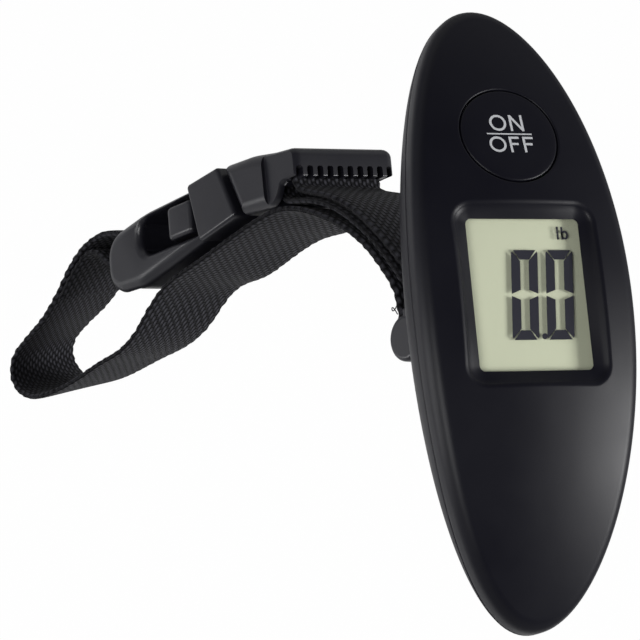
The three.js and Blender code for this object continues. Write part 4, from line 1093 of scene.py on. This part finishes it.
def ribbon():
    """P(s, v, w): the near edge's route, shifted towards the far edge by the skew, plus w half
    thicknesses along the route's normal. The selvedges bulge out once for each weft yarn."""
    y, z, skew = (column[:, None] for column in route.T)
    slope = np.gradient(route[:, :2], axis=0)
    slope /= np.hypot(*slope.T)[:, None]
    v, w = pillow_section().T[:, None]
    s, share = stations[:, None], (v + 1) / 2 * skew
    ragged = np.sin(s / WEFTS[0] * 2 * np.pi) + 0.5 * np.sin(s / WEFTS[1] * 2 * np.pi + 1)
    x = (WEB_WIDTH / 2 - 0.15) * v + np.sign(v) * SCALLOP * ragged * np.abs(v) ** 14
    wave = 0.10 * np.sin(s / 19.0) * v + 0.05 * np.sin(s / 7.3)
    out = w * WEB_THICK / 2 + wave * 0.6
    yy = y + share * WEB_SKEW[0] - out * slope[:, 1:] + sway(s, v)
    zz = z + share * WEB_SKEW[1] + out * slope[:, :1]
    below = 40 * (w < 0)
    return np.stack([x, yy, zz], -1), np.stack(np.broadcast_arrays(s, v * WEB_WIDTH / 2 + below), -1)


grid, uv_rows = ribbon()
count = grid.shape[1]
faces = strips(grid.shape[:2])
faces += [list(range(count)), [len(grid) * count - 1 - i for i in range(count)]]
webbing = piece("webbing_strap", hung(grid.reshape(-1, 3)), faces, "strap", "webbing", webbing_black, 60)
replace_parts(webbing, "webbing")

# %% Strap coordinates
def set_uv(obj, values):
    """One (along, across) pair for each vertex, copied to every face corner."""
    layer = obj.data.uv_layers.new(name="strap")
    corners = np.zeros(len(obj.data.loops), np.int64)
    obj.data.loops.foreach_get("vertex_index", corners)
    layer.data.foreach_set("uv", values[corners].astype(np.float32).ravel())


set_uv(webbing, uv_rows.reshape(-1, 2))
print("webbing", len(webbing.data.polygons), "faces")

# %% [markdown]
# ## Buckle, socket half
# The socket is a flattened tube. Its far end is rounded where the webbing goes round a bar, and
# each side is scooped out into a window, where a finger squeezes the prong. The near end is a
# thicker collar. Both are filleted prisms across the strap, with the hollow parts cut out.

# %% Finishing what is drawn in the strap's frame
def hung_up(obj, body="strap"):
    """Move a piece drawn in the strap's frame to where the strap hangs, and dress it."""
    co = np.zeros(3 * len(obj.data.vertices))
    obj.data.vertices.foreach_get("co", co)
    obj.data.vertices.foreach_set("co", (hung(co.reshape(-1, 3) / MM) * MM).ravel())
    obj.data.update()
    return dress(obj, body, "plastic", acetal, 32)


def less(obj, *prism):
    """obj with a prism's space taken out of it."""
    return carved(obj, loose("cut", *prism))


# %% Socket
ROOM = 13.4
socket_side = outline([(49.4, -62), (48.7, -89), (46.2, -104.7), (32.0, -104.9), (31.3, -91.5), (37.0, -62)],
                      [0.5, 25, 6.6, 6.6, 9, 0.5], 9)
window_side = outline([(38.2, -90.6), (47.2, -90.6), (48.2, -67), (38.0, -67)], [4.2, 4.0, 0.8, 0.8], 10)
window_points, window_faces = flared_prism(window_side, 15.2, 1.8)
socket = loose("buckle_socket", *spanning(socket_side, 15.2, 2.8, 8))
socket = less(socket, *spanning(box_outline(39.2, 46.4, -90, -50, 0.8), ROOM, 0.5, 3))
socket = less(socket, *spanning(box_outline(20, 60, -120, -93.9, 0.4), 13.0, 0.3, 3))
socket = less(socket, window_points[:, [2, 0, 1]], window_faces)
hung_up(socket)
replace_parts(socket, "buckle_female")

# %% Collar and far bar
collar_side = outline([(49.9, -69.3), (51.0, -57.2), (38.1, -51.7), (35.7, -65.9)], 1.0)
collar = loose("buckle_collar", *spanning(collar_side, 16.0, 0.8))
hung_up(less(collar, *spanning(box_outline(39.2, 46.4, -80, -40, 0.8), ROOM, 0.4)))
hung_up(loose("buckle_bar_far", *spanning(circle(2.2, (41.6, -99.0), 32), ROOM, 0.1, 1)))
print("socket", len(socket.data.polygons), "faces")

# %% [markdown]
# ## Buckle, plug half
# The plug's block has well-rounded corners. The webbing passes through a slot in it, over a bar
# that locks it, and the block's upper end, narrower by a step, carries a row of teeth that grip
# the webbing.

# %% Plug
PLUG_HALF, COMB_HALF = 15.4, 14.4
TEETH, PITCH, NOTCH_HALF = 10, 2.9, 0.85
COMB_RISE, COMB_Z = 0.03, -46


def combed(points, faces):
    """The toothed end rises a little towards the far side: y grows by COMB_RISE for each mm of x."""
    lift = COMB_RISE * (points[:, 0] + PLUG_HALF) * eased((points[:, 2] - COMB_Z) / 8)
    return points + lift[:, None] * [0, 1, 0], faces


plug_side = outline([(38.0, -51.0), (37.0, -38.8), (41.6, -36.4), (41.6, -31.0), (48.4, -31.0),
                     (49.2, -38.5), (50.6, -46), (51.2, -56.8)], [1.2, 3.8, 1.6, 0.4, 2.4, 10, 12, 1.2], 7)
plug = loose("buckle_plug", *combed(*spanning(plug_side, PLUG_HALF, 2.8, 8)))
plug = less(plug, *spanning(box_outline(20, 46.6, -40.3, -33.1, 0.6), 12.9, 0.4, 3))
step_line = outline([(30.0, -41.2), (55.0, -41.8), (55.0, -20.0), (30.0, -20.0)], 0.3)
for low, high in ((-20.0, -COMB_HALF), (COMB_HALF, 20.0)):
    plug = less(plug, *across(step_line, low, high, 0.25, 2))
for i in range(TEETH):
    x = (i - (TEETH - 1) / 2) * PITCH
    notch_line = outline([(x - NOTCH_HALF, 36.0), (x + NOTCH_HALF, 36.0), (x + NOTCH_HALF, 44.1),
                          (x - NOTCH_HALF, 44.1)], [0.1, 0.1, 0.6, 0.6])
    plug = less(plug, *combed(*filleted_prism(notch_line, -34.5, -29.0, 0.05, 1)))
hung_up(plug)
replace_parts(plug, "buckle_male")
hung_up(loose("buckle_bar_near", *spanning(box_outline(41.0, 44.6, -37.9, -35.5, 0.7), ROOM, 0.2, 2)))
hung_up(loose("buckle_tongue", *spanning(box_outline(40.8, 44.8, -84, -48, 0.8), 4.0, 0.6, 3)))

# %% Prongs
# An arm from the plug and a pad for the finger, which catches behind the collar.
pad_line = outline([(9.9, -69.1), (15.5, -69.1), (15.8, -78.0), (9.9, -80.6)], [0.6, 1.2, 2.4, 1.2], 7)
ARM = along_y(box_outline(9.9, 12.5, -81.6, -48.2, 0.6), 39.8, 45.8, 0.5, 3)
PAD = along_y(pad_line, 38.9, 46.8, 1.1)
for side, word in ((-1, "left"), (1, "right")):
    arm, pad = (loose(name + word, points * [side, 1, 1], faces)
                for name, (points, faces) in (("prong_arm_", ARM), ("prong_pad_", PAD)))
    hung_up(arm, "prong_" + word)
    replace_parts(hung_up(pad, "prong_" + word), "buckle_prong_" + word)
print("plug and prongs ready")

# %% [markdown]
# ## Stitches and a loose thread
# The strap's end is sewn back on itself with bar tacks: short stitches in rows across the ribbon.
# Each stitch is a small swept tube that dips into the webbing at both ends.

# %% Thread
def thread(path, radius, sides=6):
    """A tube along a path: each ring stands square to the path, turned from a fixed side vector."""
    tangent = unit(np.gradient(path, axis=0))
    side_way = unit(np.cross(tangent, [0.31, 0.52, 0.79]))
    other = np.cross(tangent, side_way)
    rings = path[:, None] + radius * polar(turns(sides)) @ np.stack([side_way, other], 1)
    ends = [list(range(sides))[::-1], [(len(path) - 1) * sides + i for i in range(sides)]]
    return rings.reshape(-1, 3), strips(rings.shape[:2]) + ends


def on_strap(s, v, lift):
    """The place `s` mm along the strap and v from -1 to 1 across it, `lift` mm over its surface."""
    at = lambda place: np.stack([np.interp(place, stations, column) for column in route.T], -1)
    y, z, skew = at(s).T
    ahead = unit((at(s + 0.5) - at(s - 0.5))[:, :2])
    share = (v + 1) / 2 * skew
    return np.stack([WEB_WIDTH / 2 * v, y + share * WEB_SKEW[0] - lift * ahead[:, 1],
                     z + share * WEB_SKEW[1] + lift * ahead[:, 0]], -1)


# %% Stitches
STITCH_STEPS = np.linspace(0, 1, 7)
STITCH_ROWS = (WEB_LENGTH - 9.0, WEB_LENGTH - 4.0)


def stitch(s, v):
    """One stitch across the strap, 2.1 mm long, that rises over the surface as half a sine."""
    lift = WEB_THICK / 2 - 0.15 + 0.32 * np.sin(np.pi * STITCH_STEPS)
    return thread(hung(on_strap(np.full(len(lift), s), v + 0.17 * STITCH_STEPS, lift)), 0.16)


sewn = merged(*[stitch(s, v) for s in STITCH_ROWS for v in np.arange(-0.88, 0.86, 0.2)])
piece("stitches", *sewn, "strap", "webbing", thread_black, 60)

# %% Loose thread
THREAD_FROM = 137.0
t = np.linspace(0, 1, 15)
curl = on_strap(THREAD_FROM + 2 * t, np.full(len(t), -1.0), np.full(len(t), -0.3))
curl += np.stack([-1.5 * np.sin(np.pi * t), 0.8 * np.sin(2 * np.pi * t), 0.3 * t], 1)
piece("loose_thread", *thread(hung(curl), 0.12), "strap", "webbing", thread_black, 60)
print("stitches ready")

# %% [markdown]
# ## Stage
# A white sweep far behind the scale, seen as nearly plain white by the camera, and three broad soft
# lamps: the key from the upper right, a fill from the front left, and one for the left rim. The
# sweep keeps a faint shadow.

# %% Floor
FLOOR_AT, FLOOR_HALF = -0.55, 3.0
FLOOR_GLOW = 0.98


def floor_material():
    """Matt white, but a plain glow in FLOOR_GLOW parts of what the camera sees."""
    material, tree, shader = finish("white sweep", (0.9, 0.9, 0.9), Roughness=0.9)
    either = tree.nodes.new("ShaderNodeMixShader")
    glow = add(tree, "Emission", Strength=1.0)
    seen = math(tree, "MULTIPLY", camera_ray(tree), FLOOR_GLOW)
    for socket, value in zip(either.inputs, (seen, shader.outputs[0], glow.outputs[0])):
        feed(socket, value)
    feed(tree.nodes["Material Output"].inputs["Surface"], either.outputs[0])
    return material


floor_mesh = bpy.data.meshes.new("floor")
corners = [(x * FLOOR_HALF, y * FLOOR_HALF, FLOOR_AT) for x, y in ((-1, -1), (1, -1), (1, 1), (-1, 1))]
floor_mesh.from_pydata(corners, [], [(0, 1, 2, 3)])
floor_mesh.materials.append(floor_material())
floor = bpy.data.objects.new("floor", floor_mesh)
SCENE.collection.objects.link(floor)

# %% World and lamps
SKY_STRENGTH, CAMERA_WHITE = 0.75, 1.334
SKY = ((0.30, (0.95, 0.95, 0.95, 1)), (0.82, (0.075, 0.075, 0.085, 1)))
world = bpy.data.worlds.new("studio")
SCENE.world = world
world.use_nodes = True
tree = world.node_tree
way = add(tree, "SeparateXYZ", Vector=coordinate(tree, "Generated"))
sky = add(tree, "ValToRGB", Fac=math(tree, "MULTIPLY_ADD", way.outputs["Z"], 0.5, 0.5))
for element, (height, color) in zip(sky.color_ramp.elements, SKY):
    element.position, element.color = height, color
whitened = blend(tree, camera_ray(tree), sky.outputs["Color"], [CAMERA_WHITE] * 3)
settle(tree.nodes["Background"], Color=whitened, Strength=SKY_STRENGTH)


def lamp(name, at, aim, size, power):
    """A rectangular lamp turned from its place towards its aim; power in watts."""
    data = bpy.data.lights.new(name, "AREA")
    data.shape = "RECTANGLE"
    data.size, data.size_y = size
    data.energy = power
    obj = bpy.data.objects.new(name, data)
    obj.location = at
    obj.rotation_euler = (Vector(aim) - Vector(at)).to_track_quat("-Z", "Y").to_euler()
    SCENE.collection.objects.link(obj)


lamp("key", (0.78, -0.20, 0.52), (0, 0, 0), (0.35, 0.4), 8.5)
lamp("front_fill", (-0.60, -0.20, 0.65), (0, 0, 0), (0.4, 0.4), 3.5)
lamp("left_rim", (-0.75, -0.05, -0.10), (0, 0, -0.01), (0.25, 0.7), 2.4)
print("stage ready")
